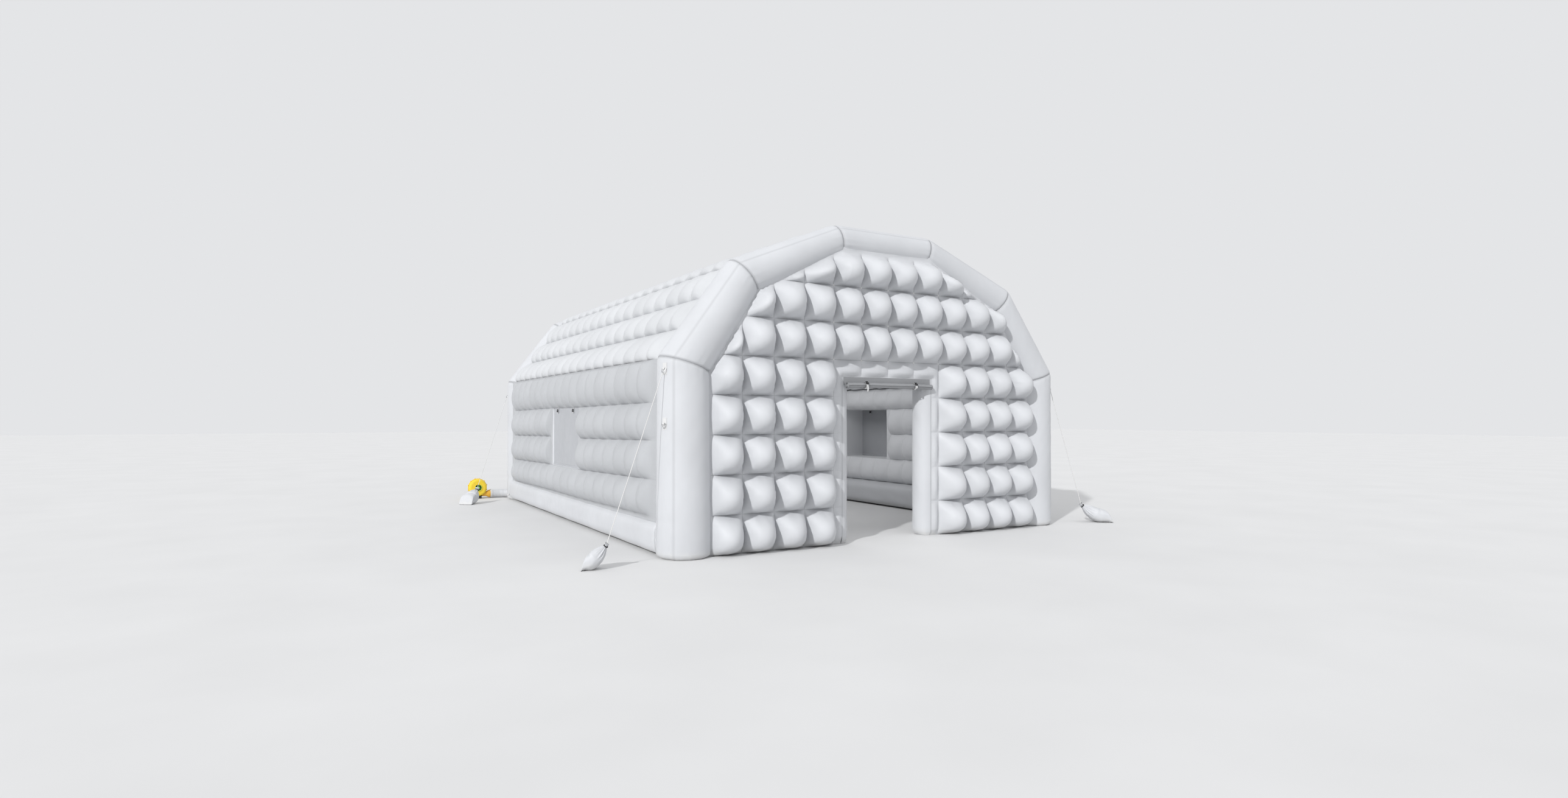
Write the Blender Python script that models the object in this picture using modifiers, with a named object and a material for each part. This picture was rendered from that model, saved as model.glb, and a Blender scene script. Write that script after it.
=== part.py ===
"""Inflatable tent with two arches of air tubes, quilted air walls, a rolled door curtain, windows that roll up,
guy ropes with sandbags, and a blower on an air tube.

Units are metres, +Z is up, the doorway faces -Y and the origin is on the ground in the middle of the tent.
"""
import math
from dataclasses import dataclass

import bmesh
import bpy
from mathutils import Matrix, Vector

# Clearances between neighbours
clearance = 0.0003
cutter_clearance = 0.0005
cut_overrun = 0.05
cut_tolerance = 1e-6

# Frame of air tubes: the axis of one arch runs through these corners
tent_width = 6.0
tent_length = 8.0
post_radius = 0.30
eave_radius = 0.29
knee_radius = 0.25
crown_radius = 0.20
eave_height = 2.10
knee_half_width = 1.98
knee_height = 3.12
crown_half_width = 0.69
crown_height = 3.68
tube_sides = 24

# Base tubes along the floor
base_height = 0.40
base_width = 0.78
base_inset = 0.08
base_reach = 3.55
base_sides = 20

# Quilted panels, in shares of the tube radius beside them, and of a cell's side
wall_seam_share = 0.80
wall_crown_share = 1.15
roof_seam_share = 0.75
roof_crown_share = 1.0
cushion_draw_share = 0.42
least_cell_share = 0.40
side_columns = 18
side_quilt_reach = 3.50
side_row = 0.435
side_rows = 4
side_bow = 0.03
side_row_rise = 0.11
level_reach = 0.78
roof_rows = 3
eave_strip = 0.05

# Front and back walls
end_wall_set = 0.02
end_wall_depth = 0.15
end_crown_share = 1.75
end_columns = 12
end_column = 0.4125
end_row = 0.445
end_rows = 8
end_strip = 0.10
end_top_row = 3.42

# Doorway
door_seam_half_width = 0.705
door_seam_height = 2.10
door_zone_columns = 2
door_zone_rows = 5
jamb_swell = 0.145
jamb_steps = 8

# Windows in the side walls
window_half_width = 0.67
window_side_strip = 0.108
window_bottom = 0.80
window_rows = 2
cover_x = 2.95
cover_thickness = 0.004
hem_height = 0.032
hem_depth = 0.020
hem_rounding = 0.006
hem_side_gap = 0.0008

# Door curtain, rolled up under the lintel
curtain_half_width = 0.68
curtain_top = 2.20
curtain_thickness = 0.004
roll_radius = 0.038
roll_height = 1.92
roll_half_length = 0.67
roll_bore = 0.014
roll_bore_depth = 0.10
roll_sides = 20
strap_width = 0.026
strap_thickness = 0.003
strap_offset = 0.385
buckle_width = 0.036
buckle_length = 0.046
buckle_depth = 0.012
buckle_rounding = 0.003
buckle_slot = 0.005
buckle_turn = math.radians(-40)

# Anchors on the posts
patch_width = 0.062
patch_height = 0.130
patch_thickness = 0.004
patch_rounding = 0.0015
seat_allowance = 0.0006
tab_width = 0.028
tab_radius = 0.0105
tab_reach = 0.013
tab_sides = 8
ring_bar_radius = 0.004
ring_width = 0.056
ring_drop = 0.046
ring_bore_clearance = 0.0008
ring_arc_points = 8
anchor_turn = math.radians(22.5)
front_left_anchor = 2.05
front_right_anchor = 1.96
back_anchor = 1.94
post_ring_height = 1.46
ring_pull = math.radians(21)

# Guy ropes, and sandbags as rings of (height share, width share, share of the way to the neck)
rope_radius = 0.004
rope_points = 10
rope_sag = 0.012
bag_height = 0.26
bag_sides = 12
bag_ring_shares = (
    (0.0, 0.78, 0.0),
    (0.10, 0.97, 0.0),
    (0.28, 1.0, 0.03),
    (0.50, 0.84, 0.18),
    (0.66, 0.50, 0.50),
    (0.80, 0.17, 0.88),
    (0.87, 0.12, 1.0),
    (1.0, 0.20, 1.0),
)
left_bag_place = (-3.765, -3.965)
left_bag_size = (0.31, 0.31)
left_bag_neck = (-3.67, -4.0)
right_bag_place = (3.64, -4.07)
right_bag_size = (0.56, 0.42)
right_bag_neck = (3.49, -3.96)
back_bag_place = (-3.71, 3.19)
back_bag_size = (0.40, 0.40)
back_bag_neck = (-3.60, 3.36)

# Blower, its axis along Y and its two shells split at a seam
blower_x = -3.45
blower_seam_y = 4.181
blower_axis_height = 0.205
housing_radius = 0.160
housing_wall = 0.005
housing_depth = 0.090
housing_shoulder = 0.032
shoulder_steps = 2
back_depth = 0.077
intake_radius = 0.062
intake_lip = 0.010
flange_radius = 0.170
flange_thickness = 0.006
clip_count = 12
outlet_clip = 10
clip_width = 0.018
clip_height = 0.009
clip_overlap = 0.003
clip_reach = 0.005
grille_thickness = 0.005
grille_bars = 8
grille_bar = 0.004
grille_hub = 0.022
grille_gap = 0.033
grille_sides = 24
impeller_radius = 0.112
impeller_hub_radius = 0.026
impeller_depth = 0.056
impeller_plate = 0.004
impeller_back = 0.021
impeller_blades = 12
blade_thickness = 0.004
blade_start = 0.068
blade_lean = math.radians(40)
blade_sink = 0.001
blade_reach_share = 0.87
shaft_radius = 0.007
shaft_length = 0.030
shaft_bore_depth = 0.034
shaft_clearance = 0.0001
motor_radius = 0.048
motor_depth = 0.046
motor_rounding = 0.008
motor_sides = 16
switch_box_width = 0.040
switch_box_height = 0.050
switch_box_depth = 0.018
switch_rise = 0.095
rocker_width = 0.020
rocker_length = 0.028
rocker_depth = 0.009
rocker_rounding = 0.0012
rocker_tilt = math.radians(8)
rocker_gap = 0.0006
rocker_end_gap = 0.0020
rocker_sink = 0.0030
pocket_depth = 0.0105
gland_radius = 0.008
gland_length = 0.014
gland_side = 0.07
gland_drop = 0.08
foot_left = 0.10
foot_right = 0.065
foot_depth = 0.14
foot_height = 0.082
foot_rounding = 0.006
outlet_start = 0.075
outlet_straight = 0.150
outlet_turn = 0.205
outlet_end = 0.225
outlet_height = 0.085
outlet_depth = 0.115
outlet_wall = 0.004
outlet_radius = 0.073
outlet_end_wall = 0.016
outlet_sides = 16
seat_sides = 64

# Air tube from the blower to the back left post
air_tube_radius = 0.076
air_tube_lift = 0.006
air_tube_sides = 16
air_tube_points = 9
air_tube_straight = 0.06
air_tube_bend_x = -2.85
air_tube_end = (-2.75, 3.85)
air_strap_width = 0.030
air_strap_thickness = 0.003
air_strap_set = 0.020
air_strap_sides = 16

# Colours
white_cloth = (0.83, 0.84, 0.86)
grey_cloth = (0.62, 0.63, 0.65)
black = (0.02, 0.02, 0.022)
steel_grey = (0.60, 0.61, 0.62)
yellow = (0.90, 0.70, 0.05)
gold = (0.80, 0.45, 0.04)
green = (0.25, 0.55, 0.12)

post_x = tent_width / 2 - post_radius
post_y = tent_length / 2 - post_radius
end_wall_y = post_y + end_wall_set
window_top = window_bottom + side_row * window_rows
up = Vector((0.0, 0.0, 1.0))
along_y = Vector((0.0, 1.0, 0.0))


def clear_scene():
    """Removes every object of the start-up scene."""
    for item in list(bpy.data.objects):
        bpy.data.objects.remove(item, do_unlink=True)


def new_collection(name):
    """Makes a collection in the scene."""
    collection = bpy.data.collections.new(name)
    bpy.context.scene.collection.children.link(collection)
    return collection


def make_material(name, colour, roughness, metallic=0.0):
    """Makes a plain Principled material."""
    material = bpy.data.materials.new(name)
    material.use_nodes = True
    shader = material.node_tree.nodes["Principled BSDF"]
    shader.inputs["Base Color"].default_value = (*colour, 1.0)
    shader.inputs["Roughness"].default_value = roughness
    shader.inputs["Metallic"].default_value = metallic
    return material


clear_scene()
tent_parts = new_collection("inflatable_tent")
tent_cutters = new_collection("cutters")
cloth = make_material("white_coated_cloth", white_cloth, 0.45)
lining = make_material("grey_coated_cloth", grey_cloth, 0.5)
webbing = make_material("white_webbing", white_cloth, 0.8)
black_plastic = make_material("black_plastic", black, 0.4)
steel = make_material("steel", steel_grey, 0.3, 1.0)
yellow_plastic = make_material("yellow_plastic", yellow, 0.4)
gold_plastic = make_material("gold_plastic", gold, 0.4)
green_plastic = make_material("green_plastic", green, 0.4)


def new_object(name, data, material, origin=(0.0, 0.0, 0.0), rotation=(0.0, 0.0, 0.0)):
    """Puts a mesh or curve into the part, at a place and an angle; without a material it is a hidden cutter."""
    item = bpy.data.objects.new(name, data)
    item.location = origin
    item.rotation_euler = rotation
    if material is None:
        item.hide_render = True
        item.display_type = "WIRE"
        tent_cutters.objects.link(item)
    else:
        item.data.materials.append(material)
        tent_parts.objects.link(item)
    return item


def solid(name, mesh_data, material, origin=(0.0, 0.0, 0.0), rotation=(0.0, 0.0, 0.0),
          smooth_angle=math.radians(35)):
    """A piece made from a bmesh, with its faces pointing out."""
    bmesh.ops.recalc_face_normals(mesh_data, faces=mesh_data.faces)
    mesh = bpy.data.meshes.new(name)
    mesh_data.to_mesh(mesh)
    mesh_data.free()
    mesh.shade_smooth()
    mesh.set_sharp_from_angle(angle=smooth_angle)
    return new_object(name, mesh, material, origin, rotation)


def cutter(name, mesh_data, origin=(0.0, 0.0, 0.0), rotation=(0.0, 0.0, 0.0)):
    """A hidden shape that is cut away from a piece, or joined to it."""
    return solid(name, mesh_data, None, origin, rotation)


def combine(item, other, operation="DIFFERENCE"):
    """Cuts a shape out of a piece, or joins it on."""
    modifier = item.modifiers.new(other.name, "BOOLEAN")
    modifier.operation = operation
    modifier.object = other


def add_box(mesh_data, low, high, turn=None):
    """Adds a box between two corners to a bmesh, turned about the origin if asked."""
    low, high = Vector(low), Vector(high)
    place = Matrix.Translation((low + high) / 2) @ Matrix.Diagonal((*(high - low), 1.0))
    bmesh.ops.create_cube(mesh_data, size=1.0, matrix=place if turn is None else turn @ place)


def box(low, high, rounding=0.0):
    """A box between two corners, with its edges rounded if asked."""
    mesh_data = bmesh.new()
    add_box(mesh_data, low, high)
    if rounding:
        bmesh.ops.bevel(mesh_data, geom=mesh_data.edges[:], offset=rounding, segments=1, affect="EDGES")
    return mesh_data


def cylinder(start, end, radius, sides=24):
    """A cylinder between two points."""
    start, end = Vector(start), Vector(end)
    mesh_data = bmesh.new()
    turn = up.rotation_difference(end - start).to_matrix().to_4x4()
    bmesh.ops.create_cone(mesh_data, cap_ends=True, segments=sides, radius1=radius, radius2=radius,
                          depth=(end - start).length, matrix=Matrix.Translation((start + end) / 2) @ turn)
    return mesh_data


def add_loft(mesh_data, rings):
    """Adds a skin through rings of equally many points, closed at both ends."""
    rows = [[mesh_data.verts.new(point) for point in ring] for ring in rings]
    for lower, upper in zip(rows[:-1], rows[1:]):
        for index, corner in enumerate(lower):
            following = (index + 1) % len(lower)
            mesh_data.faces.new((corner, lower[following], upper[following]))
            mesh_data.faces.new((corner, upper[following], upper[index]))
    mesh_data.faces.new(rows[0])
    mesh_data.faces.new(rows[-1])


def loft(rings):
    """A closed skin through rings of equally many points."""
    mesh_data = bmesh.new()
    add_loft(mesh_data, rings)
    return mesh_data


def turned(name, profile, material, origin, steps=24, closed=True, rotation=(math.pi / 2, 0.0, 0.0)):
    """Turns a profile of (radius, distance along the axis) points; the axis points to the front by default."""
    mesh = bpy.data.meshes.new(name)
    edges = [(index, index + 1) for index in range(len(profile) - 1)]
    if closed:
        edges.append((len(profile) - 1, 0))
    mesh.from_pydata([(radius, 0.0, along) for radius, along in profile], edges, [])
    item = new_object(name, mesh, material, origin, rotation)
    screw = item.modifiers.new("turn", "SCREW")
    screw.axis = "Z"
    screw.steps = steps
    screw.render_steps = steps
    screw.use_merge_vertices = True
    screw.merge_threshold = cut_tolerance
    return item


def wire(name, points, radius, material, origin=(0.0, 0.0, 0.0), rotation=(0.0, 0.0, 0.0), cyclic=False):
    """A round bar or rope along a list of points."""
    curve = bpy.data.curves.new(name, "CURVE")
    curve.dimensions = "3D"
    curve.bevel_depth = radius
    curve.bevel_resolution = 2
    curve.use_fill_caps = not cyclic
    spline = curve.splines.new("POLY")
    spline.points.add(len(points) - 1)
    for target, point in zip(spline.points, points):
        target.co = (*point, 1.0)
    spline.use_cyclic_u = cyclic
    return new_object(name, curve, material, origin, rotation)


def arc(centre, radius, start, end, steps):
    """Points on an arc of a profile, as (radius, distance) pairs, between two angles."""
    angles = [start + (end - start) * step / steps for step in range(steps + 1)]
    return [(centre[0] + radius * math.cos(angle), centre[1] + radius * math.sin(angle)) for angle in angles]


# Arch frame

arch_corners = (
    (-post_x, 0.0, post_radius),
    (-post_x, eave_height, eave_radius),
    (-knee_half_width, knee_height, knee_radius),
    (-crown_half_width, crown_height, crown_radius),
    (crown_half_width, crown_height, crown_radius),
    (knee_half_width, knee_height, knee_radius),
    (post_x, eave_height, eave_radius),
    (post_x, 0.0, post_radius),
)


def corner_point(index, arch_y=0.0):
    """The place of an arch corner on the tube's axis."""
    x, z, _ = arch_corners[index]
    return Vector((x, arch_y, z))


def half_turn(index):
    """Half the angle by which the arch turns at a corner."""
    if index in (0, len(arch_corners) - 1):
        return 0.0
    before = corner_point(index) - corner_point(index - 1)
    after = corner_point(index + 1) - corner_point(index)
    return before.angle(after) / 2


def mitre_ring(index, arch_y, extra=0.0, towards=None):
    """The ring of a tube in the mitre plane of a corner, set back a little towards a neighbour if asked."""
    here = corner_point(index, arch_y)
    last = len(arch_corners) - 1
    before = (here - corner_point(index - 1, arch_y)).normalized() if index > 0 else up
    after = (corner_point(index + 1, arch_y) - here).normalized() if index < last else -up
    forward = (before + after).normalized()
    outward = Vector((-forward.z, 0.0, forward.x))
    radius = arch_corners[index][2] + extra
    stretch = radius / math.cos(half_turn(index))
    if towards is not None:
        here = here + (corner_point(towards, arch_y) - here).normalized() * clearance / 2
    angles = [2 * math.pi * side / tube_sides for side in range(tube_sides)]
    return [here + outward * stretch * math.cos(angle) + along_y * radius * math.sin(angle) for angle in angles]


def frame_tube(name, first, last, arch_y):
    """One welded length of an arch, from one corner to another."""
    rings = []
    for index in range(first, last + 1):
        towards = None
        if index == first and index > 0:
            towards = first + 1
        if index == last and index < len(arch_corners) - 1:
            towards = last - 1
        rings.append(mitre_ring(index, arch_y, towards=towards))
    return solid(name, loft(rings), cloth)


def arch_cutter(name, arch_y):
    """A whole arch, a clearance fatter, to cut what seats on it."""
    rings = [mitre_ring(index, arch_y, extra=cutter_clearance) for index in range(len(arch_corners))]
    for ring in (rings[0], rings[-1]):
        for point in ring:
            point.z -= cut_overrun
    return cutter(name, loft(rings))


def build_frame():
    """Both arches, the front one in seven lengths and the back one in three."""
    lengths = ("post_left", "slope_left", "shoulder_left", "top_tube", "shoulder_right", "slope_right", "post_right")
    for index, label in enumerate(lengths):
        frame_tube("front_" + label, index, index + 1, -post_y)
    frame_tube("back_post_left", 0, 1, post_y)
    frame_tube("back_arch_top", 1, 6, post_y)
    frame_tube("back_post_right", 6, 7, post_y)


build_frame()
front_arch_cutter = arch_cutter("front_arch_cutter", -post_y)
back_arch_cutter = arch_cutter("back_arch_cutter", post_y)


def oval_tube(side, reach, extra=0.0):
    """A straight oval tube along Y, resting on the ground on one of its flats."""
    mesh_data = cylinder((0.0, -reach, 0.0), (0.0, reach, 0.0), 1.0, sides=base_sides)
    half_facet = math.pi / base_sides
    half_width = base_width / 2 + extra
    half_height = (base_height / 2 + extra) / math.cos(half_facet)
    for vertex in mesh_data.verts:
        step = round(math.atan2(vertex.co.z, vertex.co.x) / (2 * half_facet))
        angle = (2 * step + 1) * half_facet
        vertex.co.x = side * (post_x - base_inset) + half_width * math.cos(angle)
        vertex.co.z = base_height / 2 + half_height * math.sin(angle)
    return mesh_data


def build_base_tubes():
    """The tubes along the floor; their ends are hollowed to seat on the posts, clear of the end walls."""
    wall_reach = end_wall_y - end_wall_depth * end_crown_share
    wall_edge = post_x - base_inset
    wall_cutters = []
    for label, side in (("front", -1), ("back", 1)):
        ends = sorted((side * (wall_reach - clearance), side * (tent_length / 2 + cut_overrun)))
        block = box((-wall_edge, ends[0], -cut_overrun), (wall_edge, ends[1], base_height + cut_overrun))
        wall_cutters.append(cutter(label + "_wall_clearance", block))
    cutters = []
    for label, side in (("left", -1), ("right", 1)):
        tube = solid("base_tube_" + label, oval_tube(side, base_reach), cloth)
        for shape in (front_arch_cutter, back_arch_cutter, *wall_cutters):
            combine(tube, shape)
        cutters.append(cutter("base_cutter_" + label, oval_tube(side, post_y + cut_overrun, cutter_clearance)))
    return cutters


base_cutter_left, base_cutter_right = build_base_tubes()


# Quilting: a panel is cut and quilted flat, as (along, up, out), and then put in its place

@dataclass(frozen=True)
class Quilt:
    """A flat panel: its corners, seam lines, the box that is quilted, and lines that end the cloth or the quilting.

    Lines are ((along, up), (normal along, normal up)) pairs. The opening is cut out; its zone stays flat. The
    outer cushions are flat-topped or pointed, and the inner skin has pointed ones or none.
    """
    low: tuple
    high: tuple
    columns: tuple
    rows: tuple
    quilt_low: tuple
    quilt_high: tuple
    cell: tuple
    outline: tuple = ()
    seams: tuple = ()
    opening: tuple = None
    zone: tuple = None
    flat_topped: bool = True
    quilted_inside: bool = True


def inside(point, corners):
    """Tells whether a point lies in a box of two corners; no box holds nothing."""
    if corners is None:
        return False
    low, high = corners
    return low[0] < point[0] < high[0] and low[1] < point[1] < high[1]


def cut(mesh_data, point, normal, beyond=False, zone=None):
    """Cuts the flat cloth along a line, only within a zone if one is given, and drops what lies beyond if asked."""
    faces = [face for face in mesh_data.faces if zone is None or inside(face.calc_center_median(), zone)]
    geometry = set(faces)
    for face in faces:
        geometry.update(face.edges)
        geometry.update(face.verts)
    bmesh.ops.bisect_plane(mesh_data, geom=list(geometry), dist=cut_tolerance, plane_co=(*point, 0.0),
                           plane_no=(*normal, 0.0), clear_outer=beyond)


def flat_cloth(quilt):
    """The flat cloth with its seam lines and its opening."""
    mesh_data = bmesh.new()
    size = Vector(quilt.high) - Vector(quilt.low)
    middle = (Vector(quilt.high) + Vector(quilt.low)) / 2
    place = Matrix.Translation((*middle, 0.0)) @ Matrix.Diagonal((*size, 1.0, 1.0))
    bmesh.ops.create_grid(mesh_data, x_segments=1, y_segments=1, size=1 / 2, matrix=place)
    for point, normal in quilt.outline:
        cut(mesh_data, point, normal, beyond=True)
    for along in quilt.columns:
        cut(mesh_data, (along, 0.0), (1.0, 0.0))
    for height in quilt.rows:
        cut(mesh_data, (0.0, height), (0.0, 1.0))
    for point, normal in quilt.seams:
        cut(mesh_data, point, normal)
    if quilt.opening:
        for along, height in quilt.opening:
            cut(mesh_data, (along, 0.0), (1.0, 0.0), zone=quilt.zone)
            cut(mesh_data, (0.0, height), (0.0, 1.0), zone=quilt.zone)
        gone = [face for face in mesh_data.faces if inside(face.calc_center_median(), quilt.opening)]
        bmesh.ops.delete(mesh_data, geom=gone, context="FACES")
    return mesh_data


def is_quilted(quilt, centre):
    """Tells whether a cell lies within the quilting."""
    if not inside(centre, (quilt.quilt_low, quilt.quilt_high)) or inside(centre, quilt.zone):
        return False
    return all((centre.x - point[0]) * normal[0] + (centre.y - point[1]) * normal[1] < 0
               for point, normal in quilt.seams)


def raise_cushion(mesh_data, face, swell, cell_area, flat_topped):
    """Raises one cell into a cushion, flat-topped or pointed; what is left of a cut cell rises less."""
    share = face.calc_area() / cell_area
    if share < least_cell_share:
        return
    height = math.copysign(swell * min(1.0, math.sqrt(share)), face.calc_center_median().z)
    if not flat_topped:
        centre = bmesh.ops.poke(mesh_data, faces=[face])["verts"][0]
        centre.co.z += height
        return
    bmesh.ops.inset_individual(mesh_data, faces=[face], thickness=0.0, depth=0.0)
    centre = face.calc_center_median_weighted()
    for vertex in face.verts:
        vertex.co = vertex.co.lerp(centre, cushion_draw_share)
        vertex.co.z += height


def quilted_slab(quilt, thickness_share, crown_share):
    """Both skins of a panel with their cushions, and the rim that joins them."""
    mesh_data = flat_cloth(quilt)
    raised = bmesh.ops.extrude_face_region(mesh_data, geom=mesh_data.faces[:])["geom"]
    upper = {item for item in raised if isinstance(item, bmesh.types.BMVert)}
    for vertex in mesh_data.verts:
        vertex.co.z = thickness_share if vertex in upper else -thickness_share
    cells = [face for face in mesh_data.faces
             if abs(abs(face.calc_center_median().z) - thickness_share) < cut_tolerance
             and is_quilted(quilt, face.calc_center_median())]
    cell_area = quilt.cell[0] * quilt.cell[1]
    for face in cells:
        outer = face.calc_center_median().z > 0
        if outer or quilt.quilted_inside:
            raise_cushion(mesh_data, face, crown_share - thickness_share, cell_area, outer and quilt.flat_topped)
    return mesh_data


def evenly(start, stop, count):
    """Equally spaced places, both ends counted."""
    return tuple(start + (stop - start) * index / count for index in range(count + 1))


def put_side_panel(mesh_data, first, last, bow=0.0, rise=0.0, fade_share=1.0):
    """Puts a flat panel between two arch corners: along becomes Y, up runs from the first corner to the last.

    Both ends are mitred, and the slant fades over a share of the span. A wall bows outwards in its middle, and its
    seams rise towards the front, level beside the window.
    """
    start, end = corner_point(first), corner_point(last)
    span = (end - start).length
    direction = (end - start) / span
    outward = Vector((-direction.z, 0.0, direction.x))
    if outward.dot((start + end) / 2 - up * eave_height / 2) < 0:
        outward = -outward
    first_tangent, last_tangent = math.tan(half_turn(first)), math.tan(half_turn(last))
    first_radius, last_radius = arch_corners[first][2], arch_corners[last][2]
    for vertex in mesh_data.verts:
        along, height, out = vertex.co
        share = height / span
        belly = 4 * share * (1 - share)
        depth = out * (first_radius + (last_radius - first_radius) * share)
        height += depth * last_tangent * max(0.0, 1 - (1 - share) / fade_share)
        height -= depth * first_tangent * max(0.0, 1 - share / fade_share)
        beyond = math.copysign(max(0.0, abs(along) - level_reach), along)
        height -= rise * belly * beyond / (2 * post_y)
        depth += bow * belly * (1 - (along / post_y) ** 2)
        vertex.co = start + direction * height + outward * depth + along_y * along
    bmesh.ops.triangulate(mesh_data, faces=mesh_data.faces)


def side_walls():
    """The two side walls, with a window each, standing on the base tubes."""
    rows = tuple(window_bottom + side_row * index for index in range(side_rows - 1))
    for label, first, last, base in (("left", 0, 1, base_cutter_left), ("right", 7, 6, base_cutter_right)):
        quilt = Quilt(
            low=(-post_y, base_height / 2), high=(post_y, eave_height - clearance / 2),
            columns=evenly(-side_quilt_reach, side_quilt_reach, side_columns),
            rows=(base_height, *rows, eave_height - eave_strip),
            quilt_low=(-side_quilt_reach, base_height), quilt_high=(side_quilt_reach, eave_height - eave_strip),
            cell=(2 * side_quilt_reach / side_columns, side_row),
            opening=((-window_half_width, window_bottom), (window_half_width, window_top)),
            zone=((-window_half_width - window_side_strip, window_bottom),
                  (window_half_width + window_side_strip, window_top)))
        mesh_data = quilted_slab(quilt, wall_seam_share, wall_crown_share)
        put_side_panel(mesh_data, first, last, side_bow, side_row_rise, 1 - window_top / eave_height)
        wall = solid("side_wall_" + label, mesh_data, cloth)
        for shape in (front_arch_cutter, back_arch_cutter, base):
            combine(wall, shape)


def roof_panels():
    """The five roof panels between the arches, mitred against each other."""
    panels = (("roof_slope_left", 1, 2), ("roof_shoulder_left", 2, 3), ("roof_top", 3, 4),
              ("roof_shoulder_right", 5, 4), ("roof_slope_right", 6, 5))
    for name, first, last in panels:
        span = (corner_point(last) - corner_point(first)).length
        rows = evenly(clearance / 2, span - clearance / 2, roof_rows)
        quilt = Quilt(
            low=(-post_y, rows[0]), high=(post_y, rows[-1]),
            columns=evenly(-side_quilt_reach, side_quilt_reach, side_columns), rows=rows[1:-1],
            quilt_low=(-side_quilt_reach, rows[0]), quilt_high=(side_quilt_reach, rows[-1]),
            cell=(2 * side_quilt_reach / side_columns, rows[1] - rows[0]), flat_topped=False,
            quilted_inside=False)
        mesh_data = quilted_slab(quilt, roof_seam_share, roof_crown_share)
        put_side_panel(mesh_data, first, last)
        panel = solid(name, mesh_data, cloth)
        for shape in (front_arch_cutter, back_arch_cutter):
            combine(panel, shape)


def end_walls():
    """The front wall, notched for the doorway, and the back wall."""
    columns = tuple(end_column * index for index in range(-end_columns // 2, end_columns // 2 + 1))
    rows = tuple(end_row * index for index in range(1, end_rows))
    outline = []
    seams = [((0.0, end_top_row), (0.0, 1.0))]
    for first, last in ((1, 2), (2, 3), (3, 4), (4, 5), (5, 6)):
        start, end = corner_point(first), corner_point(last)
        direction = (end - start).normalized()
        outward = (-direction.z, direction.x)
        outline.append(((start.x, start.z), outward))
        inset = max(arch_corners[first][2], arch_corners[last][2]) + end_strip
        if (first, last) != (3, 4):
            seams.append(((start.x - outward[0] * inset, start.z - outward[1] * inset), outward))
    zone_half_width = door_zone_columns * end_column
    for label, side, arch in (("front", -1, front_arch_cutter), ("back", 1, back_arch_cutter)):
        doorway = {}
        if side < 0:
            doorway["opening"] = ((-door_seam_half_width, -cut_overrun), (door_seam_half_width, door_seam_height))
            doorway["zone"] = ((-zone_half_width, -cut_overrun), (zone_half_width, door_zone_rows * end_row))
        quilt = Quilt(
            low=(-post_x, 0.0), high=(post_x, crown_height + cut_overrun), columns=columns, rows=rows,
            quilt_low=(columns[0], 0.0), quilt_high=(columns[-1], crown_height), cell=(end_column, end_row),
            outline=tuple(outline), seams=tuple(seams), quilted_inside=side < 0, **doorway)
        mesh_data = quilted_slab(quilt, 1.0, end_crown_share)
        for vertex in mesh_data.verts:
            along, height, out = vertex.co
            vertex.co = (along, side * (end_wall_y + out * end_wall_depth), height)
        combine(solid(label + "_wall", mesh_data, cloth), arch)


side_walls()
roof_panels()
end_walls()


def door_frame():
    """The half-round swell round the doorway, mitred at its corners, seated on the cut edge of the wall."""
    edge = door_seam_half_width - clearance
    top = door_seam_height - clearance
    section = arc((0.0, 0.0), 1.0, -math.pi / 2, math.pi / 2, jamb_steps)
    rings = []
    for side, height in ((-1, None), (-1, top), (1, top), (1, None)):
        ring = []
        for swell_share, out_share in section:
            swell = swell_share * jamb_swell
            z = 0.0 if height is None else height - swell
            ring.append(Vector((side * (edge - swell), -end_wall_y - out_share * end_wall_depth, z)))
        rings.append(ring)
    solid("door_frame_tube", loft(rings), cloth)


door_frame()


# Door curtain

strap_inner = (roll_radius + clearance) / math.cos(math.pi / roll_sides)
strap_outer = strap_inner + strap_thickness
curtain_back_y = -end_wall_y - end_wall_depth - clearance
curtain_front_y = curtain_back_y - curtain_thickness
roll_place = Vector((0.0, curtain_front_y - clearance - strap_outer, roll_height))


def curtain_roll():
    """The rolled cloth: a cylinder with a short open bore at each end."""
    half = roll_half_length
    roll = solid("door_curtain_roll", cylinder((-half, 0.0, 0.0), (half, 0.0, 0.0), roll_radius, sides=roll_sides),
                 cloth, roll_place)
    for side, label in ((-1, "left"), (1, "right")):
        start = (side * (half - roll_bore_depth), 0.0, 0.0)
        end = (side * (half + cut_overrun), 0.0, 0.0)
        combine(roll, cutter("roll_bore_" + label, cylinder(start, end, roll_bore, sides=tab_sides), roll_place))


def roll_strap(label, x):
    """A webbing band round the roll, with the buckle that closes it at the top of the front."""
    half = strap_width / 2
    place = roll_place + Vector((x, 0.0, 0.0))
    turned("door_strap_" + label,
           ((strap_outer, half), (strap_outer, -half), (strap_inner, -half), (strap_inner, half)), webbing,
           place, steps=roll_sides, rotation=(0.0, math.pi / 2, 0.0))
    face = -strap_outer - clearance
    turn = (buckle_turn, 0.0, 0.0)
    buckle = solid("door_buckle_" + label,
                   box((-buckle_width / 2, face - buckle_depth, -buckle_length / 2),
                       (buckle_width / 2, face, buckle_length / 2), buckle_rounding), black_plastic, place, turn)
    for slot_label, middle in (("upper", buckle_length / 4), ("lower", -buckle_length / 4)):
        low = (-half, face - buckle_depth - cut_overrun, middle - buckle_slot / 2)
        high = (half, face + cut_overrun, middle + buckle_slot / 2)
        combine(buckle, cutter(f"{label}_buckle_{slot_label}_slot", box(low, high), place, turn))


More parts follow.
